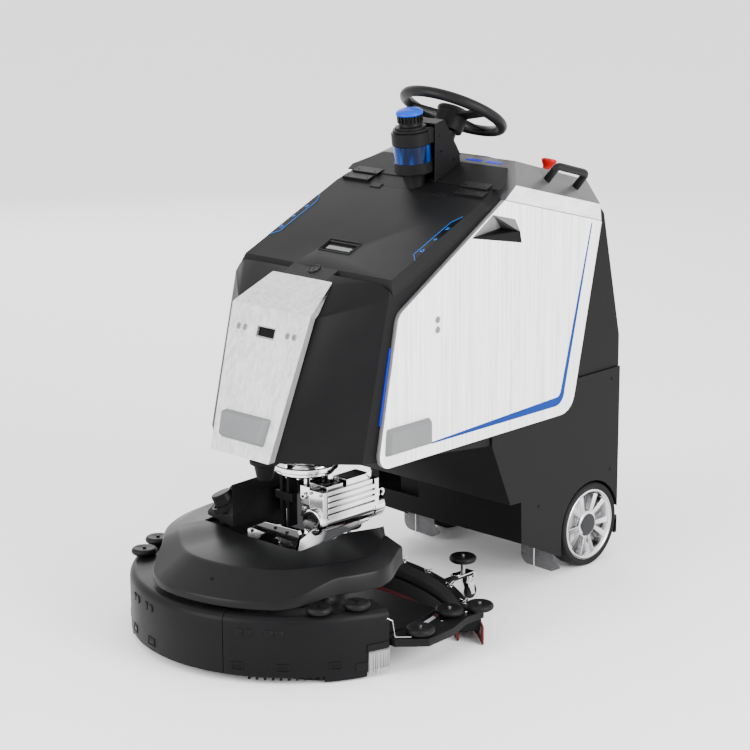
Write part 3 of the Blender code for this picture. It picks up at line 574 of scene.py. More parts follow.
def hinge_block(side, sign):
    """Two stepped louvres with their screws and a low tab at the hood's hinge."""
    louvres, screws = [], []
    for row in (0, 1):
        front, rear = -0.416 + 0.029 * row, -0.39 + 0.029 * row
        section = ((front, -0.003), (front, 0.0065), (rear, -0.003), (rear, 0.003))
        louvres.append(solid([on_lid(sign * x, y, lift) for x in (0.146 - 0.006 * row, 0.238 - 0.01 * row)
                              for y, lift in section]))
        for x in (0.156, 0.224 - 0.01 * row):
            screws.append(disc(0.0022, 0, 0.0058, on_lid(sign * x, front + 0.009), LID_NORMAL, 16))
    piece(f"hinge_louvres_{side}", "body", "lid", louvres, 0.0012)
    piece(f"louvre_screws_{side}", "body", "gloss", screws)
    tab = solid([on_lid(sign * x, y, lift) for x in (0.092, 0.126) for y in (-0.433, -0.417)
                 for lift in (-0.003, 0.0022)])
    piece(f"hinge_tab_{side}", "body", "lid", tab, 0.0008)


def edge_display(side, sign):
    """Dark inlay at the hood's edge with a lit outline and three plain lit signs."""
    inner, outer = 0.231, 0.25
    def mirrored(u, v, lift):
        return on_lid(sign * u, v, lift)
    inlay = [(outer, -0.67), (inner, -0.652), (inner, -0.522), (outer - 0.006, -0.496), (outer, -0.496)]
    piece(f"display_{side}", "lid", "gloss", raised(inlay, mirrored, -0.001, 0.0008), 0.0003)
    line = [(outer, -0.6722), (inner - 0.0015, -0.6535), (inner - 0.0015, -0.5205), (outer - 0.006, -0.4935)]
    piece(f"display_line_{side}", "lid", "icon", lines(line, mirrored, 0.0013, 0.0011))
    signs, long, short = [], 0.005, 0.0027
    for middle_v, strokes in ((-0.545, (((-long, -short), (long, -short)), ((-long, short), (long, short)),
                                        ((-short, -long), (-short, long)))),
                              (-0.59, (((-long, 0), (long, 0)), ((0, -long), (0, long)))),
                              (-0.635, (((-long, -short), (0, long)), ((long, -short), (0, long)),
                                        ((-long, -long), (long, -long))))):
        for ends in strokes:
            signs.append(raised(ribbon([(0.2415 + u, middle_v + v) for u, v in ends], 0.0019), mirrored, 0.0,
                                0.0012))
    piece(f"display_signs_{side}", "lid", "icon", signs)


def nose():
    refine("front_panel", "nose", 0.0025)
    outline = [(-0.073, 0.505), (0.073, 0.505), (0.08, 0.572), (-0.08, 0.572)]
    piece("nose_bumper", "body", "block", tapered(outline, on_nose, -0.002, 0.02, 0.007), 0.004)
    glass = raised(rectangle(0.0285, 0.7484, 0.7696), on_nose, -0.014, -0.005)
    piece("camera_glass", "body", "gloss", glass, 0.0015)
    window = rectangle(0.0305, 0.7465, 0.7715)
    piece("camera_frame", "body", "steel", lines(window + window[:1], on_nose, 0.0024, 0.0009), 0.0004)
    spots = [on_nose(x, 0.762) for x in (-0.095, -0.073, 0.073, 0.095)]
    round_sensors("nose_sensor_rings", "nose_sensors", spots, NOSE_NORMAL, (0.0072, 0.0013),
                  [(0.0062, -0.002), (0.0062, 0.0006), (0.004, 0.0016), (0, 0.0019)])
    boss = [(0, 0.4), (0.018, 0.4), (0.021, 0.409), (0.027, 0.438), (0.037, 0.441), (0.037, 0.4515),
            (0, 0.4515)]
    piece("nose_cone", "body", "body", spun(boss, (0.008, -0.945, 0)), 0.0015)


# ---- sides ------------------------------------------------------------------------------------------
def side(side_name, sign):
    refine(f"side_panel_{side_name}", "panel", 0.0045, whole=False)
    place = on_side(sign)
    stripe = [(-0.0225, 0.936), (-0.1265, 0.512)] + arc((-0.164, 0.512), 0.0375, 0, -88, 8)
    stripe += [(-0.64, 0.4762), (-0.64, 0.48), (-0.17, 0.4975)] + arc((-0.16, 0.516), 0.0185, -80, -8, 5)
    stripe += [(-0.0272, 0.936)]
    piece(f"stripe_{side_name}", "body", "blue", raised(stripe, place, -0.0005, 0.0005))
    outline = [(-0.806, 0.476), (-0.645, 0.476), (-0.645, 0.546), (-0.8, 0.546)]
    piece(f"side_bumper_{side_name}", "body", "block", tapered(outline, place, -0.002, 0.0165, 0.008), 0.0055)
    spots = [place(-0.618, z) for z in (0.781, 0.756)]
    round_sensors(f"side_sensor_rings_{side_name}", f"side_sensors_{side_name}", spots, (sign, 0, 0),
                  (0.008, 0.0012),
                  [(0.0072, -0.002), (0.0072, 0.0008), (0.005, 0.002), (0, 0.0025)])
    edge = [(-0.7718, 0.736), (-0.8088, 0.554)]
    led = [Vector((sign * (PANEL_IN + lift), u + shift, v)) for u, v in edge for shift in (-0.0042, -0.001)
           for lift in (-0.001, 0.0032)]
    piece(f"edge_light_{side_name}", "body", "light", solid(led), 0.0006)
    sensor_bay(side_name, sign)


def sensor_bay(side_name, sign):
    """Sunk facets round the side camera: a pale one in front, a grey one behind, a dark floor."""
    def spot(y, z, depth=0.0):
        return Vector((sign * (PANEL_X - 0.0015 - depth), y, z))
    tip, top, rear_top = spot(-0.496, 0.9605), spot(-0.417, 1.0095), spot(-0.3315, 0.9875)
    rear, rear_low = spot(-0.3115, 0.953), spot(-0.3045, 0.9235)
    ridge, ridge_rear = spot(-0.336, 0.96, 0.04), spot(-0.3135, 0.951, 0.012)
    inward = Vector((-sign * 0.002, 0, 0.002))
    for name, look, corners in (("front", "nose", (tip, top, ridge)),
                                ("rear", "facet", (top, rear_top, rear, ridge_rear, ridge)),
                                ("floor", "dark", (tip, ridge, ridge_rear, rear, rear_low))):
        facet = solid(list(corners) + [corner + inward for corner in corners])
        piece(f"bay_{name}_{side_name}", "body", look, facet)
    back, front, rim_front = (sign * (PANEL_X - depth) for depth in (0.03, 0.003, 0.0045))
    piece(f"bay_camera_{side_name}", "body", "gloss", block((back, -0.374, 0.936), (front, -0.33, 0.954)),
          0.0035)
    rim = block((back, -0.3765, 0.9325), (rim_front, -0.3275, 0.9375))
    piece(f"bay_camera_rim_{side_name}", "body", "block", rim, 0.0012)
    lens = (front, -0.352, 0.945)
    piece(f"bay_lens_{side_name}", "body", "steel", hoop(0.0055, 0.001, lens, (sign, 0, 0), 32, 10))


# ---- console and tower ------------------------------------------------------------------------------
def console():
    refine("console_cover", "console", 0.0045)
    crest_face = Vector((0, -0.0152, 0.036)).normalized()
    bars = []
    for sign in (1, -1):
        for low, high in ((0.062, 0.112), (0.128, 0.178)):
            points = []
            for x in (low, high):
                for y in (-0.2755, -0.2685):
                    base = Vector((sign * x, y, 1.1008 + 0.4222 * (y + 0.289)))
                    points += [base - crest_face * 0.001, base + crest_face * 0.001]
            bars.append(solid(points))
    piece("crest_lights", "body", "light", bars, 0.0004)
    normal = Vector((0, math.sin(math.radians(16)), math.cos(math.radians(16))))
    stop = Vector((0.12, -0.02, 1.116 - 0.285235 * 0.233))
    piece("stop_collar", "body", "dark", disc(0.0225, -0.001, 0.0035, stop, normal, 48, 0.001))
    cap = [(0, -0.004), (0.015, -0.004), (0.015, 0.004), (0.0135, 0.012), (0.015, 0.019), (0.019, 0.0255),
           (0.0205, 0.0305), (0.02, 0.034), (0.0165, 0.0362), (0.012, 0.035), (0, 0.0345)]
    piece("stop_head", "emergency_stop", "red", spun(cap, stop, normal), 0, 40, "estop_button")
    refine("touch_display", "dark", 0.0015)
    glass = []
    for x in (-0.124, 0.064):
        for y in (-0.194, -0.076):
            base = Vector((x, y, 1.116 - 0.285235 * (y + 0.253)))
            glass += [base + normal * 0.004, base + normal * 0.0072]
    piece("display_glass", "body", "gloss", solid(glass), 0.0008)
    for side_name, sign in SIDES:
        route = [(0.227, -0.164, 1.049), (0.27, -0.164, 1.099), (0.27, -0.047, 1.0665),
                 (0.227, -0.047, 1.0165)]
        route = [(sign * x, y, z) for x, y, z in route]
        piece(f"grip_{side_name}", "body", "grip", tube(route, 0.01, 24, 0.014), 0, 40,
              f"grab_handle_{side_name}")
        feet = [disc(0.0125, 0.001, 0.0085, route[0 if end == 0 else 3],
                     Vector(route[1 if end == 0 else 2]) - Vector(route[0 if end == 0 else 3]), 32, 0.001)
                for end in (0, 1)]
        piece(f"grip_feet_{side_name}", "body", "dark", feet)


TOWER = Vector((0, -0.406, 1.135))
TOWER_AXIS = Vector((0, -math.sin(math.radians(7.5)), math.cos(math.radians(7.5))))


def tower():
    """Laser scanner on its stalk, with a lit cap on top and a folded bracket behind."""
    low_drum = [(0, -0.11), (0.03, -0.11), (0.024, -0.088), (0.0265, -0.056), (0.044, -0.052), (0.049, -0.05),
                (0.0505, -0.0475), (0.0505, -0.0235), (0.0495, -0.022), (0.047, -0.0215), (0, -0.0215)]
    top_drum = [(0, 0.0215), (0.047, 0.0215), (0.05, 0.0225), (0.051, 0.024), (0.051, 0.052),
                (0.0495, 0.0545),
                (0.04, 0.056), (0.0395, 0.068), (0.03, 0.07), (0.0285, 0.076), (0, 0.076)]
    piece("scanner_drums", "body", "body", [spun(low_drum, TOWER, TOWER_AXIS, 96),
                                            spun(top_drum, TOWER, TOWER_AXIS, 96)],
          0, 30, "lidar_housing")
    band = [(0, -0.0215), (0.0486, -0.0215), (0.0486, 0.0215), (0, 0.0215)]
    piece("scanner_band", "body", "window", spun(band, TOWER, TOWER_AXIS, 96), 0, 30)
    neck = [disc(0.0285, 0.072, 0.0965, TOWER, TOWER_AXIS, 64)]
    turn = UP.rotation_difference(TOWER_AXIS).to_matrix()
    for k in range(20):
        angle = 2 * math.pi * k / 20
        out, along = Vector((math.cos(angle), math.sin(angle), 0)), Vector((-math.sin(angle),
                                                                            math.cos(angle), 0))
        corners = [out * radius + along * half + UP * height for radius,
                   half in ((0.027, 0.003), (0.0325, 0.0026))
                   for half in (half, -half) for height in (0.078, 0.096)]
        neck.append(solid([turn @ corner + TOWER for corner in corners]))
    piece("beacon_neck", "body", "dark", neck, 0.0004)
    cap = [(0, 0.0962), (0.0325, 0.0962), (0.0345, 0.0985), (0.034, 0.104), (0.03, 0.108), (0.02, 0.111),
           (0.01, 0.1122), (0, 0.1126)]
    piece("beacon_cap", "body", "beacon", spun(cap, TOWER, TOWER_AXIS, 96), 0, 40, "status_beacon")
    refine("lidar_bracket", "body", 0.0016)
    screws = [disc(0.0033, -0.001, 0.0012, (sign * 0.0565, y, z), (sign, 0, 0), 20, 0.0005)
              for sign in (1, -1) for y, z in ((-0.368, 1.177), (-0.363, 1.138), (-0.315, 1.112))]
    piece("bracket_screws", "body", "gloss", screws)
    collar = [turn @ Vector((0.0455 * math.cos(a), 0.0455 * math.sin(a), h)) + TOWER
              for a in (2 * math.pi * k / 32 for k in range(32)) for h in (0.0562, 0.0625)]
    collar += [turn @ Vector((x, 0.062, h)) + TOWER for x in (-0.052, 0.052) for h in (0.0562, 0.0625)]
    wrap = [turn @ Vector((way * x, y, h)) + TOWER for way in (-1, 1) for x,
            y in ((0.0515, 0.008), (0.0525, 0.062))
            for h in (0.024, 0.06)]
    piece("scanner_collar", "body", "body", [solid(collar), solid(wrap)], 0.0012)


WHEEL_C = Vector((0, -0.253, 1.222))
WHEEL_AXIS = Vector((0, math.sin(math.radians(28.4)), math.cos(math.radians(28.4))))


def steering():
    rim = hoop(0.1295, 0.014, WHEEL_C, WHEEL_AXIS, 128, 28)
    piece("steering_rim", "steering", "grip", rim, 0, 60, "steering_wheel")
    hub = [(0, -0.0515), (0.0375, -0.0515), (0.0385, -0.049), (0.0405, -0.004), (0.0425, -0.0035),
           (0.0425, 0.003),
           (0.04, 0.0065), (0.035, 0.0065), (0.034, 0.0045), (0, 0.0045)]
    piece("steering_hub", "steering", "body", spun(hub, WHEEL_C, WHEEL_AXIS, 96), 0, 30)
    turn = UP.rotation_difference(WHEEL_AXIS).to_matrix()
    spokes = []
    for angle in (-10, 90, 190):
        swing = turn @ Matrix.Rotation(math.radians(angle), 3, "Z")
        corners = [(0.034, 0.0185, -0.006), (0.034, 0.0185, -0.015), (0.07, 0.012, -0.004),
                   (0.07, 0.012, -0.0125),
                   (0.128, 0.015, 0.003), (0.128, 0.015, -0.005)]
        spokes.append(solid([swing @ Vector((x, way * y, z)) + WHEEL_C for x, y, z in corners
                             for way in (1, -1)]))
    piece("steering_spokes", "steering", "grip", spokes, 0.0022)
    refine("steering_column", "body", 0.001)
    boot = [(0, -0.165), (0.036, -0.165), (0.034, -0.15), (0.027, -0.128), (0.0255, -0.056), (0, -0.056)]
    piece("column_boot", "body", "dark", spun(boot, WHEEL_C, WHEEL_AXIS, 64), 0, 30)


# ---- rear -------------------------------------------------------------------------------------------
def rear():
    refine("lower_casing", "body", 0.003)
    piece("rear_bumper", "body", "dark", block((-0.262, 0.104, 0.064), (0.262, 0.13, 0.111)), 0.006)
    for node in ("battery_pack", "solution_tank", "recovery_tank"):
        refine(node, "inner", 0.006)
    refine("vacuum_motor", "inner", 0.003)
    refine("chassis_frame", "frame", 0.002)
    screws = [disc(0.0045, -0.001, 0.0015, (sign * 0.268, y, z), (sign, 0, 0), 24, 0.0006)
               for sign in (1, -1) for y, z in ((0.085, 0.5), (0.085, 0.25), (-0.215, 0.215), (-0.36, 0.5))]
    piece("casing_screws", "body", "dark", screws)
    for side_name, sign in SIDES:
        rear_wheel(side_name, sign)
        flap(side_name, sign * 0.2125 - 0.0625)


def rear_wheel(side_name, sign):
    body = f"rear_wheel_{side_name}"
    hub, out = Vector((sign * 0.238, 0, 0.114)), Vector((sign, 0, 0))
    tread = [(0.0945, -0.026), (0.1, -0.029), (0.108, -0.03), (0.1125, -0.0275), (0.114, -0.023),
             (0.114, -0.0065), (0.1128, -0.0055), (0.114, -0.0045), (0.114, 0.0045), (0.1128, 0.0055),
             (0.114, 0.0065), (0.114, 0.023), (0.1125, 0.0275), (0.108, 0.03), (0.1, 0.029), (0.0945, 0.026)]
    piece(f"tyre_{side_name}", body, "tyre", spun(tread, hub, out, 128), 0, 30, f"rear_tyre_{side_name}")
    ring = [(0.0965, -0.026), (0.0965, 0.027), (0.0955, 0.0292), (0.0925, 0.03), (0.0895, 0.0288),
            (0.0875, 0.0255),
            (0.0835, 0.015), (0.0815, -0.004), (0.08, -0.026)]
    dish = [(0.0, 0.002), (0.045, 0.0), (0.082, -0.006), (0.082, -0.01), (0.0, -0.01)]
    centre = [(0, -0.008), (0.036, -0.008), (0.0385, 0.012), (0.0345, 0.0215), (0.0305, 0.0235), (0, 0.0235)]
    shapes = [spun(ring, hub, out, 128), spun(centre, hub, out, 96)]
    for k in range(5):
        for way in (-1, 1):
            near, far = math.radians(72 * k + 36 + way * 9), math.radians(72 * k + 36 + way * 14.5)
            points = []
            for angle, radius, half, top, low in ((near, 0.03, 0.0085, 0.0205, 0.002),
                                                  (near, 0.05, 0.0095, 0.019, 0.0),
                                                  (far, 0.0845, 0.013, 0.0245, -0.002)):
                along = Vector((0, math.sin(angle), math.cos(angle)))
                aside = Vector((0, math.cos(angle), -math.sin(angle)))
                for edge in (-half, half):
                    points += [hub + along * radius + aside * edge * 0.62 + out * top,
                               hub + along * radius + aside * edge + out * low]
            shapes.append(solid(points))
    piece(f"wheel_rim_{side_name}", body, "alloy", shapes, 0.0012, 40, f"rear_rim_{side_name}")
    piece(f"wheel_dish_{side_name}", body, "steel", spun(dish, hub, out, 96), 0, 30)
    cap = [(0, 0.023), (0.0285, 0.023), (0.0285, 0.0245), (0.027, 0.0262), (0.01, 0.0272), (0, 0.0272)]
    piece(f"wheel_cap_{side_name}", body, "inner", spun(cap, hub, out, 64), 0, 30)


def flap(side_name, start_x):
    """Clear splash flap with a clamping plate, its bolts and a thin rod, in front of a rear wheel."""
    outline = [(0.0, 0.13), (0.111, 0.13), (0.112, 0.062)] + arc((0.15, 0.062), 0.038, 180, 248, 7)
    outline += [(0.1, 0.013)] + arc((0.026, 0.044), 0.026, 270, 180, 6)

    def wave(u, v, lift):
        curl = 0.01 * smoothstep(0.06 - v, 0, 0.05) * smoothstep(u, 0.07, 0.13)
        return Vector((start_x + min(u, 0.127), -0.1435 + lift + curl, v))
    piece(f"flap_{side_name}", "body", "flap", raised(outline, wave, 0.0, 0.002), 0, 40,
          f"splash_flap_{side_name}")
    plates = [block((start_x + low, -0.147, 0.072), (start_x + high, -0.144, 0.122))
              for low, high in ((0.022, 0.046), (0.052, 0.088))]
    piece(f"flap_plate_{side_name}", "body", "steel", plates, 0.0008)
    bolts = [hexagon(0.0042, 0.0, 0.0045, (start_x + x, -0.1465, z), (0, -1, 0))
             for x in (0.013, 0.096) for z in (0.083, 0.11)]
    piece(f"flap_bolts_{side_name}", "body", "gloss", bolts, 0.0006)
    rod = tube([(start_x + 0.049, -0.149, 0.128), (start_x + 0.049, -0.149, 0.014)], 0.0016, 12)
    piece(f"flap_rod_{side_name}", "body", "chrome", rod)


# ---- steered front unit -----------------------------------------------------------------------------
TURRET_Y = -0.8


def turret():
    axis = (0, TURRET_Y, 0)
    race = [(0.056, 0.4255), (0.0855, 0.4255), (0.0865, 0.4275), (0.0865, 0.435), (0.084, 0.437),
            (0.08, 0.4375),
            (0.079, 0.44), (0.079, 0.4508), (0.056, 0.4508)]
    piece("bearing_race", "body", "chrome", spun(race, axis, UP, 96), 0, 30, "slewing_bearing")
    plate = [(0, 0.388), (0.07, 0.388), (0.073, 0.391), (0.073, 0.398), (0.082, 0.4), (0.0825, 0.403),
             (0.0825, 0.412), (0.079, 0.4135), (0.078, 0.418), (0.076, 0.424), (0, 0.424)]
    cheeks = [block((low, TURRET_Y - 0.032, 0.088), (high, TURRET_Y + 0.032, 0.396))
              for low, high in ((0.0365, 0.048), (-0.048, -0.0365))]
    bolts = [hexagon(0.005, -0.006, 0.0, (0.062 * math.cos(a), TURRET_Y + 0.062 * math.sin(a), 0.389))
             for a in (2 * math.pi * k / 12 for k in range(12))]
    piece("turret_fork", "turret", "chrome", [spun(plate, axis, UP, 96)] + cheeks + bolts, 0.001, 40,
          "turret_yoke")
    links = [block((-0.022, -0.868, 0.3), (-0.012, -0.834, 0.394)),
             block((0.006, -0.872, 0.262), (0.014, -0.842, 0.394)),
             block((-0.03, -0.876, 0.33), (0.03, -0.866, 0.35))]
    piece("turret_links", "turret", "frame", links, 0.0015)
    drive_motor()
    lift_plates()
    hub = (0, TURRET_Y, 0.11)
    tyre = [(0.078, -0.027), (0.096, -0.028), (0.106, -0.027), (0.11, -0.021), (0.11, 0.021), (0.106, 0.027),
            (0.096, 0.028), (0.078, 0.027)]
    piece("drive_tyre", "front_wheel", "tyre", spun(tyre, hub, (1, 0, 0), 96), 0, 30, "drive_wheel")
    core = [(0, -0.036), (0.012, -0.036), (0.014, -0.026), (0.04, -0.024), (0.06, -0.018), (0.079, -0.024),
            (0.079, 0.024), (0.06, 0.018), (0.04, 0.024), (0.014, 0.026), (0.012, 0.036), (0, 0.036)]
    piece("drive_core", "front_wheel", "chrome", spun(core, hub, (1, 0, 0), 64), 0, 30)


def drive_motor():
    """Bright finned motor on the fork's left, with its end shields, lugs and terminal plate."""
    middle_x, middle_z = 0.1, 0.294
    barrel = [(0, -0.88), (0.03, -0.88), (0.0335, -0.877), (0.0335, -0.862), (0.031, -0.86), (0.031, -0.69),
              (0.0335, -0.688), (0.0335, -0.655), (0.03, -0.651), (0, -0.651)]
    shapes = [spun(barrel, (middle_x, 0, middle_z), (0, 1, 0), 64)]
    for low_z, high_z in ((0.3, 0.3125), (0.3165, 0.3285), (0.3325, 0.343), (0.347, 0.3585)):
        shapes.append(block((0.06, -0.855, low_z), (0.1345, -0.69, high_z)))
    shapes += [block((0.052, -0.852, 0.3), (0.1285, -0.695, 0.37)),
               block((0.084, -0.87, 0.288), (0.131, -0.856, 0.372)),
               block((0.0485, -0.866, 0.33), (0.08, -0.845, 0.376)),
               block((0.05, -0.69, 0.29), (0.132, -0.676, 0.37)),
               block((0.06, -0.845, 0.368), (0.12, -0.79, 0.38)),
               block((0.075, -0.78, 0.368), (0.123, -0.7, 0.386)),
               solid([(0.123, -0.7, 0.386), (0.123, -0.716, 0.386), (0.13, -0.7, 0.396),
                      (0.123, -0.7, 0.368), (0.13, -0.702, 0.376), (0.117, -0.7, 0.386)])]
    piece("motor_body", "turret", "chrome", shapes, 0.0012, 40, "traction_motor")
    lugs = [disc(0.011, -0.004, 0.004, (0.118, -0.655, 0.326), (1, 0, 0), 32, 0.001),
            block((0.114, -0.68, 0.316), (0.122, -0.655, 0.336)),
            disc(0.008, -0.003, 0.003, (0.064, -0.87, 0.352), (0, 1, 0), 24, 0.001),
            disc(0.006, -0.004, 0.004, (0.068, -0.872, 0.322), (0, 1, 0), 24, 0.001)]
    piece("motor_lugs", "turret", "chrome", lugs, 0.0008)
    dark = [disc(0.0042, -0.005, 0.005, (0.118, -0.655, 0.326), (1, 0, 0), 20),
            disc(0.0035, -0.005, 0.005, (0.064, -0.87, 0.352), (0, 1, 0), 20),
            block((0.1322, -0.85, 0.3135), (0.134, -0.692, 0.3155)), block((0.066, -0.842, 0.3795),
                                                                           (0.112, -0.794, 0.3812)),
            solid([(0.0515, -0.87, 0.3), (0.07, -0.868, 0.3), (0.0515, -0.848, 0.345), (0.08, -0.85, 0.33),
                   (0.0515, -0.8, 0.262), (0.08, -0.8, 0.262)])]
    piece("motor_dark_parts", "turret", "gloss", dark, 0.0006)
    bolts = [hexagon(0.0038, 0.0, 0.0035, (x, -0.8705, z), (0, -1, 0)) for x, z in
             ((0.091, 0.365), (0.124, 0.365), (0.091, 0.332), (0.124, 0.3), (0.1, 0.297))]
    piece("motor_bolts", "turret", "steel", bolts, 0.0004)


def lift_plates():
    refine("lift_bracket", "chrome", 0.001, 30)
    ribs = [solid([(x, y, z) for x in (0.066, 0.072) for y, z in ((-0.944, 0.285), (-0.944, 0.236),
                                                                  (-0.885, 0.236))]),
            solid([(x, y, z) for x in (0.1035, 0.1075) for y, z in
                   ((-0.93, 0.262), (-0.945, 0.232), (-0.7, 0.2575), (-0.86, 0.285))]),
            disc(0.02, -0.93, -0.905, (0.03, 0, 0.232), (0, 1, 0), 32)]
    piece("bracket_ribs", "turret", "chrome", ribs, 0.0008)
    bolts = [hexagon(0.0038, 0.0, 0.0032, (x, -0.951, z), (0, -1, 0))
             for x, z in ((-0.034, 0.262), (0.088, 0.284), (0.104, 0.252), (0.048, 0.287))]
    piece("bracket_bolts", "turret", "gloss", bolts, 0.0004)


# ---- brush deck -------------------------------------------------------------------------------------
DECK_Y = -0.84
SKIRT_R = 0.408
SPLIT = 21.0                       # degrees from the front where the two skirts meet


def deck_point(degrees, radius, z):
    angle = math.radians(degrees)
    return Vector((radius * math.sin(angle), DECK_Y - radius * math.cos(angle), z))


def spread(start, end, count):
    return [start + (end - start) * i / count for i in range(count + 1)]


def shroud_section(angle):
    """Sloping top, soft crease, flank, and a rim that steps up on either side into an upright wall."""
    turn = abs(angle)
    inner = 0.145 / math.cos(math.radians(turn)) if turn < 49 else 0.1668 / math.sin(math.radians(turn))
    inner += 0.078 * smoothstep(turn, 84, 104)
    lift, tail = smoothstep(abs(angle - 11), 27, 53), smoothstep(turn, 78, 104)
    slim = smoothstep(-angle, 4, 40)
    edge_r = 0.39 - 0.034 * lift - 0.052 * tail - 0.032 * slim * (1 - tail)
    crease_r = 0.3 - 0.043 * tail - 0.022 * slim * (1 - tail)
    edge_z = 0.194 + 0.043 * lift + 0.012 * tail
    crease_z = 0.246 + 0.01 * lift + 0.014 * tail
    top_z = 0.262 + 0.006 * lift + 0.026 * tail
    low_z = 0.176 + 0.02 * lift + 0.01 * tail
    loop = [(inner, top_z - 0.012), (inner, top_z - 0.003), (inner + 0.003, top_z),
            (crease_r, crease_z + 0.0015),
            (crease_r + 0.006, crease_z), (crease_r + 0.011, crease_z - 0.0028 - 0.001 * (1 - lift)),
            (edge_r - 0.006, edge_z + 0.0035),
            (edge_r - 0.002, edge_z + 0.0008), (edge_r, edge_z - 0.004), (edge_r + 0.0015 * lift, low_z
                                                                          + 0.002),
            (edge_r - 0.0015, low_z), (edge_r - 0.005, low_z), (edge_r - 0.007, edge_z - 0.006),
            (crease_r + 0.003, crease_z - 0.008)]
    return [deck_point(angle, radius, z) for radius, z in loop]


def skirt_section(angle):
    end = smoothstep(abs(angle), 66, 78)
    low = 0.018
    shoulder = arc((SKIRT_R - 0.02, 0.145 - 0.004 * end), 0.02, 0, 90, 6)
    loop = [(SKIRT_R - 0.006, low), (SKIRT_R - 0.001, low), (SKIRT_R, low + 0.002),
            (SKIRT_R, 0.12)] + shoulder
    loop += [(0.345, 0.165 - 0.004 * end), (0.335, 0.163), (0.335, 0.158), (SKIRT_R - 0.024, 0.157),
             (SKIRT_R - 0.008, 0.14)]
    return [deck_point(angle, radius, z) for radius, z in loop]


def round_slab(start, end, radius, low, high, thickness):
    """A piece of the skirt's wall between two angles and two heights."""
    return swept([[deck_point(angle, r, z) for r, z in ((radius - thickness, low), (radius, low),
                                                        (radius, high),
                                                         (radius - thickness, high))]
                  for angle in spread(start, end, 6)])


def deck():
    piece("shroud", "deck", "deck", swept([shroud_section(a) for a in spread(-104, 104, 150)]), 0, 24,
          "deck_shroud")
    for name, start, end in (("left", SPLIT + 0.15, 78), ("right", -78, SPLIT - 0.15)):
        arc_piece = swept([skirt_section(a) for a in spread(start, end, 70)])
        piece(f"skirt_wall_{name}", "deck", "skirt", arc_piece, 0, 30, f"skirt_{name}")
    skirt_trim()
    skirt_tufts()
    hole = deck_point(11.1, 0.345, 0.2228)
    flank = Vector((0.526 * math.sin(math.radians(11.1)), -0.526 * math.cos(math.radians(11.1)),
                    0.85)).normalized()
    piece("shroud_hole", "deck", "gloss", disc(0.0042, -0.001, 0.0004, hole, flank, 24))
    rod = [deck_point(74, 0.4, 0.152), (0.404, -0.918, 0.13), (0.406, -0.912, 0.0885), (0.432, -0.884, 0.088)]
    piece("skirt_rod", "squeegee", "chrome", tube(rod, 0.0013, 12, 0.002))
    refine("deck_plate", "frame", 0.0015)
    deck_drive()
    for side_name, sign in SIDES:
        refine(f"brush_{side_name}", "bristle", 0.002)
        for row, (x, y) in (("front", (0.308, -1.065)), ("rear", (0.35, -0.983))):
            guide_roller(f"deck_roller_{row}_{side_name}", f"roller_{row}_{side_name}", (sign * x, y, 0.176),
                         0.0325)


def skirt_trim():
    """Buttons, raised frames round slots, and the toothed lower edge of the skirt."""
    buttons, frames, slots = [], [], []
    for angle, z in ((26.5, 0.126), (29.8, 0.126), (36.8, 0.125), (40.2, 0.125), (-12.1, 0.126),
                     (-15.4, 0.126),
                     (-22.4, 0.126), (-25.8, 0.126)):
        out = deck_point(angle, 1, z) - deck_point(angle, 0, z)
        buttons.append(spun([(0, -0.002), (0.0105, -0.002), (0.0105, 0.0012), (0.009, 0.0026), (0, 0.003)],
                            deck_point(angle, SKIRT_R, z), out, 32))
    piece("skirt_buttons", "deck", "skirt", buttons)
    for angle in (26.0, 41.2, 58.7, -12.3, -27.0, -45.0, -62.0):
        for low, high, first, last in ((0.031, 0.034, -2.2, 2.2), (0.048, 0.051, -2.2, 2.2),
                                       (0.031, 0.051, -2.2, -1.8),
                                       (0.031, 0.051, 1.8, 2.2)):
            frames.append(round_slab(angle + first, angle + last, SKIRT_R + 0.0016, low, high, 0.004))
        slots.append(round_slab(angle - 1.3, angle + 1.3, SKIRT_R + 0.0006, 0.0365, 0.0435, 0.004))
    piece("skirt_frames", "deck", "skirt", frames, 0.0004)
    piece("skirt_slots", "deck", "gloss", slots, 0.0003)
    teeth = [round_slab(angle, angle + 0.9, SKIRT_R - 0.001, 0.011, 0.02, 0.005)
             for angle in spread(29.5, 53.5, 9)]
    teeth.append(round_slab(55.0, 69.6, SKIRT_R - 0.0005, 0.004, 0.02, 0.005))
    teeth += [round_slab(first, first + 3.5, SKIRT_R - 0.001, 0.01, 0.02, 0.005) for first in (-60, -48, -36)]
    teeth.append(round_slab(69.6, 77.6, SKIRT_R + 0.003, 0.062, 0.082, 0.008))
    teeth.append(round_slab(65.5, 70.5, SKIRT_R + 0.0018, 0.022, 0.04, 0.006))
    piece("skirt_lower_edge", "deck", "skirt", teeth, 0.0008)


def skirt_tufts():
    """A row of loose bristles at the skirt's rear corner."""
    tufts = []
    random.seed(7)
    for k in range(26):
        angle = 70.2 + 0.3 * k
        wobble = random.uniform(-0.3, 0.3)
        tufts.append(tube([deck_point(angle, SKIRT_R + 0.0025, 0.066),
                           deck_point(angle + wobble, SKIRT_R + 0.0015,
                          0.006 + random.uniform(0, 0.012))], 0.0007, 6))
    piece("skirt_tufts", "deck", "tuft", tufts)


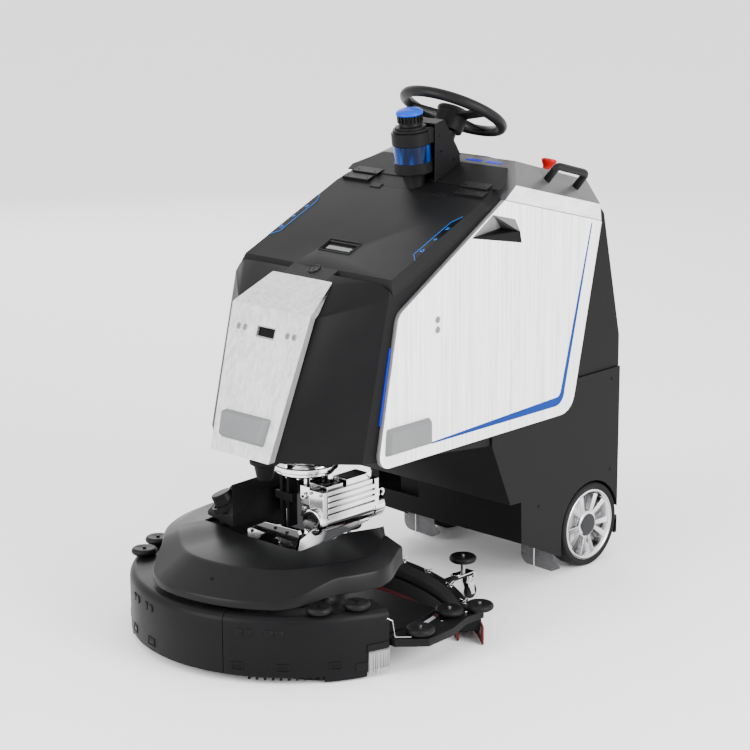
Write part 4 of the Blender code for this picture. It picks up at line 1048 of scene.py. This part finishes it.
def deck_drive():
    refine("motor_cover", "skirt", 0.009, 30)
    knob_axis = Vector((-0.3, -0.25, 0.92)).normalized()
    spot = Vector((-0.127, -0.952, 0.312))
    piece("cover_pocket", "deck", "dark", spun([(0, -0.012), (0.038, -0.012), (0.036, 0.0015),
                                                (0.031, 0.0015),
                                                 (0.029, -0.004), (0, -0.004)], spot, knob_axis, 64), 0, 30)
    knob = [(0, -0.01), (0.0235, -0.01), (0.0245, 0.018), (0.0265, 0.02), (0.0265, 0.0275), (0.0245, 0.03),
            (0.015, 0.0308), (0, 0.0308)]
    piece("cover_knob", "deck", "dark", spun(knob, spot, knob_axis, 64), 0, 30)
    piece("deck_inner_parts", "deck", "frame", [block((-0.1655, -0.983, 0.165), (-0.12, -0.76, 0.262)),
                                                block((0.128, -0.9, 0.12), (0.145, -0.72, 0.215)),
                                                block((-0.12, -0.985, 0.15), (0.12, -0.965, 0.2245))], 0.003)


def guide_roller(body, node, centre, radius):
    """Rubber guide roller: round rim, dished top and a bolt through its middle."""
    rim = arc((radius - 0.0085, 0), 0.0085, -80, 80, 10)
    profile = [(0, -0.0075), (radius - 0.013, -0.0075)] + rim + [(radius - 0.013, 0.0078), (0.0085, 0.0062),
                                                                 (0, 0.0062)]
    piece(f"{node}_disc", body, "soft", spun(profile, centre, UP, 64), 0, 35, node)
    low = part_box(node)[0][2] - centre[2]
    stem = [disc(0.006, low, -0.006, centre, UP, 24), hexagon(0.0046, 0.006, 0.0105, centre),
            disc(0.0095, -0.0105, -0.0072, centre, UP, 32, 0.0008)]
    piece(f"{node}_bolt", body, "steel" if body.startswith("guide") else "dark", stem, 0.0005)


# ---- squeegee ---------------------------------------------------------------------------------------
SQUEEGEE_Y, SQUEEGEE_R = -1.143, 0.673


def squeegee_point(degrees, radius, z):
    angle = math.radians(degrees)
    return Vector((radius * math.sin(angle), SQUEEGEE_Y + radius * math.cos(angle), z))


def squeegee_strip(face, reach, count, section):
    """A strip along the squeegee's curve; its section's depths run inwards from its outer face."""
    return swept([[squeegee_point(angle, face - depth, z) for depth, z in section]
                  for angle in spread(-reach, reach, count)])


def squeegee():
    refine("squeegee_beam", "body", 0.0025)
    section = ((0.005, 0.001), (0.0015, 0.001), (0.0, 0.0025), (0.0, 0.047), (0.0012, 0.048), (0.005, 0.048))
    for name, outer, reach in (("rear", SQUEEGEE_R, 41.3), ("front", SQUEEGEE_R - 0.056, 38.3)):
        piece(f"blade_{name}", "squeegee", "blade", squeegee_strip(outer, reach, 90, section), 0, 30,
              f"squeegee_blade_{name}")
    clamps = []
    for reach, depth, low, high, faces in ((38, 0.0065, 0.0478, 0.052, (0.0002, -0.0565)),
                                           (36, 0.0014, 0.015, 0.048, (0.0016, -0.0052, -0.0546, -0.0612))):
        section = ((depth, low), (0.0, low), (0.0, high), (depth, high))
        clamps += [squeegee_strip(SQUEEGEE_R + face, reach, 70, section) for face in faces]
    piece("blade_clamps", "squeegee", "dark", clamps, 0.0004)
    wing_nuts()
    for side_name, sign in SIDES:
        squeegee_side(side_name, sign)


def wing_nuts():
    nuts, wings = [], []
    for angle in (-33, -24, -14, -5, 5, 14, 24, 33):
        spot = squeegee_point(angle, SQUEEGEE_R - 0.03, 0.087 - 0.014 * smoothstep(abs(angle), 20, 39))
        nuts += [disc(0.0075, -0.002, 0.0015, spot, UP, 32, 0.0005),
                 disc(0.0042, 0.0015, 0.0075, spot, UP, 24, 0.001)]
        along = squeegee_point(angle, 1, 0) - squeegee_point(angle, 0, 0)
        for way in (-1, 1):
            near, far = spot + along * way * 0.003, spot + along * way * 0.0105
            aside = Vector((-along.y, along.x, 0)) * 0.0014
            wings.append(solid([near + s * aside + UP * h for s in (-1, 1) for h in (0.003, 0.008)]
                               + [far + s * aside + UP * h for s in (-1, 1) for h in (0.007, 0.013)]))
    piece("wing_nuts", "squeegee", "chrome", nuts + wings, 0.0005)


def squeegee_side(side_name, sign):
    """One end of the squeegee: blank tag, guide rollers, caster with its bracket, and the arm's bolts."""
    end = squeegee_point(sign * 39.2, SQUEEGEE_R - 0.0052, 0.032)
    out = squeegee_point(sign * 39.2, 0, 0) - squeegee_point(sign * 39.2, 1, 0)
    along = Vector((-out.y, out.x, 0))
    tag = [end + along * a + UP * z + out * lift for a in (-0.01, 0.01) for z in (-0.011, 0.011)
           for lift in (-0.002, 0.001)]
    piece(f"end_tag_{side_name}", "squeegee", "block", solid(tag), 0.0008)
    for row, (x, y, z) in (("arm", (0.432, -0.853, 0.098)), ("link", (0.398, -0.712, 0.098)),
                           ("tip", (0.43, -0.638, 0.098)), ("caster", (0.203, -0.44, 0.116))):
        guide_roller(f"guide_{row}_{side_name}", f"squeegee_roller_{row}_{side_name}", (sign * x, y, z),
                     0.035)
    low, high = sorted((sign * 0.186, sign * 0.214))
    cradle = [block((low, -0.47, 0.0725), (high, -0.405, 0.0755)),
              block((low, -0.41, 0.058), (high, -0.405, 0.0755)),
              disc(0.0125, 0.0725, 0.0785, (sign * 0.2, -0.462, 0), UP, 32, 0.001),
              disc(0.003, 0.0725, 0.104, (sign * 0.203, -0.44, 0), UP, 16)]
    piece(f"caster_bracket_{side_name}", "squeegee", "chrome", cradle, 0.0008)
    arm_bolts = [hexagon(0.0055, 0, 0.0048, (sign * x, y, 0.085)) for x, y in ((0.412, -0.757), (0.4, -0.905),
                                                                            (0.414, -0.672))]
    piece(f"arm_bolts_{side_name}", "squeegee", "chrome", arm_bolts, 0.0006)
    refine(f"caster_fork_{side_name}", "chrome", 0.0008)
    hub = (sign * 0.2, -0.408, 0.019)
    tyre = [(0.011, -0.007), (0.0165, -0.0074), (0.0188, -0.005), (0.019, 0), (0.0188, 0.005),
            (0.0165, 0.0074),
            (0.011, 0.007)]
    piece(f"caster_tyre_{side_name}", f"caster_{side_name}_roll", "tyre", spun(tyre, hub, (1, 0, 0), 48), 0,
          30,
          f"caster_wheel_{side_name}")
    core = [disc(0.0112, -0.0062, 0.0062, hub, (1, 0, 0), 32), disc(0.004, -0.008, 0.008, hub, (1, 0, 0), 24)]
    piece(f"caster_hub_{side_name}", f"caster_{side_name}_roll", "inner", core)


hood()
nose()
for side_name, side_sign in SIDES:
    side(side_name, side_sign)
console()
tower()
steering()
rear()
turret()
deck()
squeegee()


# ---- floor, light and camera ------------------------------------------------------------------------
def studio():
    """Plain pale floor, even white surroundings and soft lights."""
    bpy.ops.mesh.primitive_plane_add(size=60, location=(0, 0, -0.0005))
    floor = bpy.context.object
    floor.name = "floor"
    pale = Shader("floor_pale", (0.93, 0.93, 0.93), 0.65, Specular_IOR_Level=0.1)
    pale.colour(pale.mix(pale.spread(pale.noise(0.4), 0.0, 1.0), (0.955, 0.955, 0.955),
                         (0.965, 0.965, 0.965)))
    floor.data.materials.append(pale.material)
    world = bpy.data.worlds.new("studio")
    bpy.context.scene.world = world
    world.use_nodes = True
    world.node_tree.nodes["Background"].inputs["Color"].default_value = (1.0, 1.0, 1.0, 1)
    world.node_tree.nodes["Background"].inputs["Strength"].default_value = 1.9
    for name, place, aim, size, power in (
            ("side_light", (5.0, 0.3, 2.2), (0.2, -0.2, 0.7), 3.0, 420),
            ("front_light", (-1.2, -5.5, 2.4), (0, 0, 0.7), 3.0, 330),
            ("back_light", (-4.5, 3.0, 2.6), (0, -0.8, 0.3), 3.0, 70)):
        lamp = bpy.data.lights.new(name, "AREA")
        lamp.size = size
        lamp.energy = power
        source = bpy.data.objects.new(name, lamp)
        bpy.context.scene.collection.objects.link(source)
        source.location = place
        source.rotation_mode = "QUATERNION"
        source.rotation_quaternion = (Vector(place) - Vector(aim)).to_track_quat("Z", "Y")


def camera():
    azimuth, elevation, roll = (math.radians(a) for a in (43.55, 14.32, 0.314))
    right = Vector((math.cos(azimuth), math.sin(azimuth), 0))
    back = Vector((math.cos(elevation) * math.sin(azimuth), -math.cos(elevation) * math.cos(azimuth),
                   math.sin(elevation)))
    up = back.cross(right)
    tilted_right = right * math.cos(roll) - up * math.sin(roll)
    tilted_up = right * math.sin(roll) + up * math.cos(roll)
    view = bpy.data.objects.new("camera", bpy.data.cameras.new("camera"))
    bpy.context.scene.collection.objects.link(view)
    turn = Matrix((tilted_right, tilted_up, back)).transposed().to_4x4()
    view.matrix_world = Matrix.Translation(at(3.68708, -4.42714, 1.95)) @ turn
    view.data.lens = 104.93
    view.data.sensor_width = 36
    view.data.clip_end = 200
    bpy.context.scene.camera = view


studio()
camera()
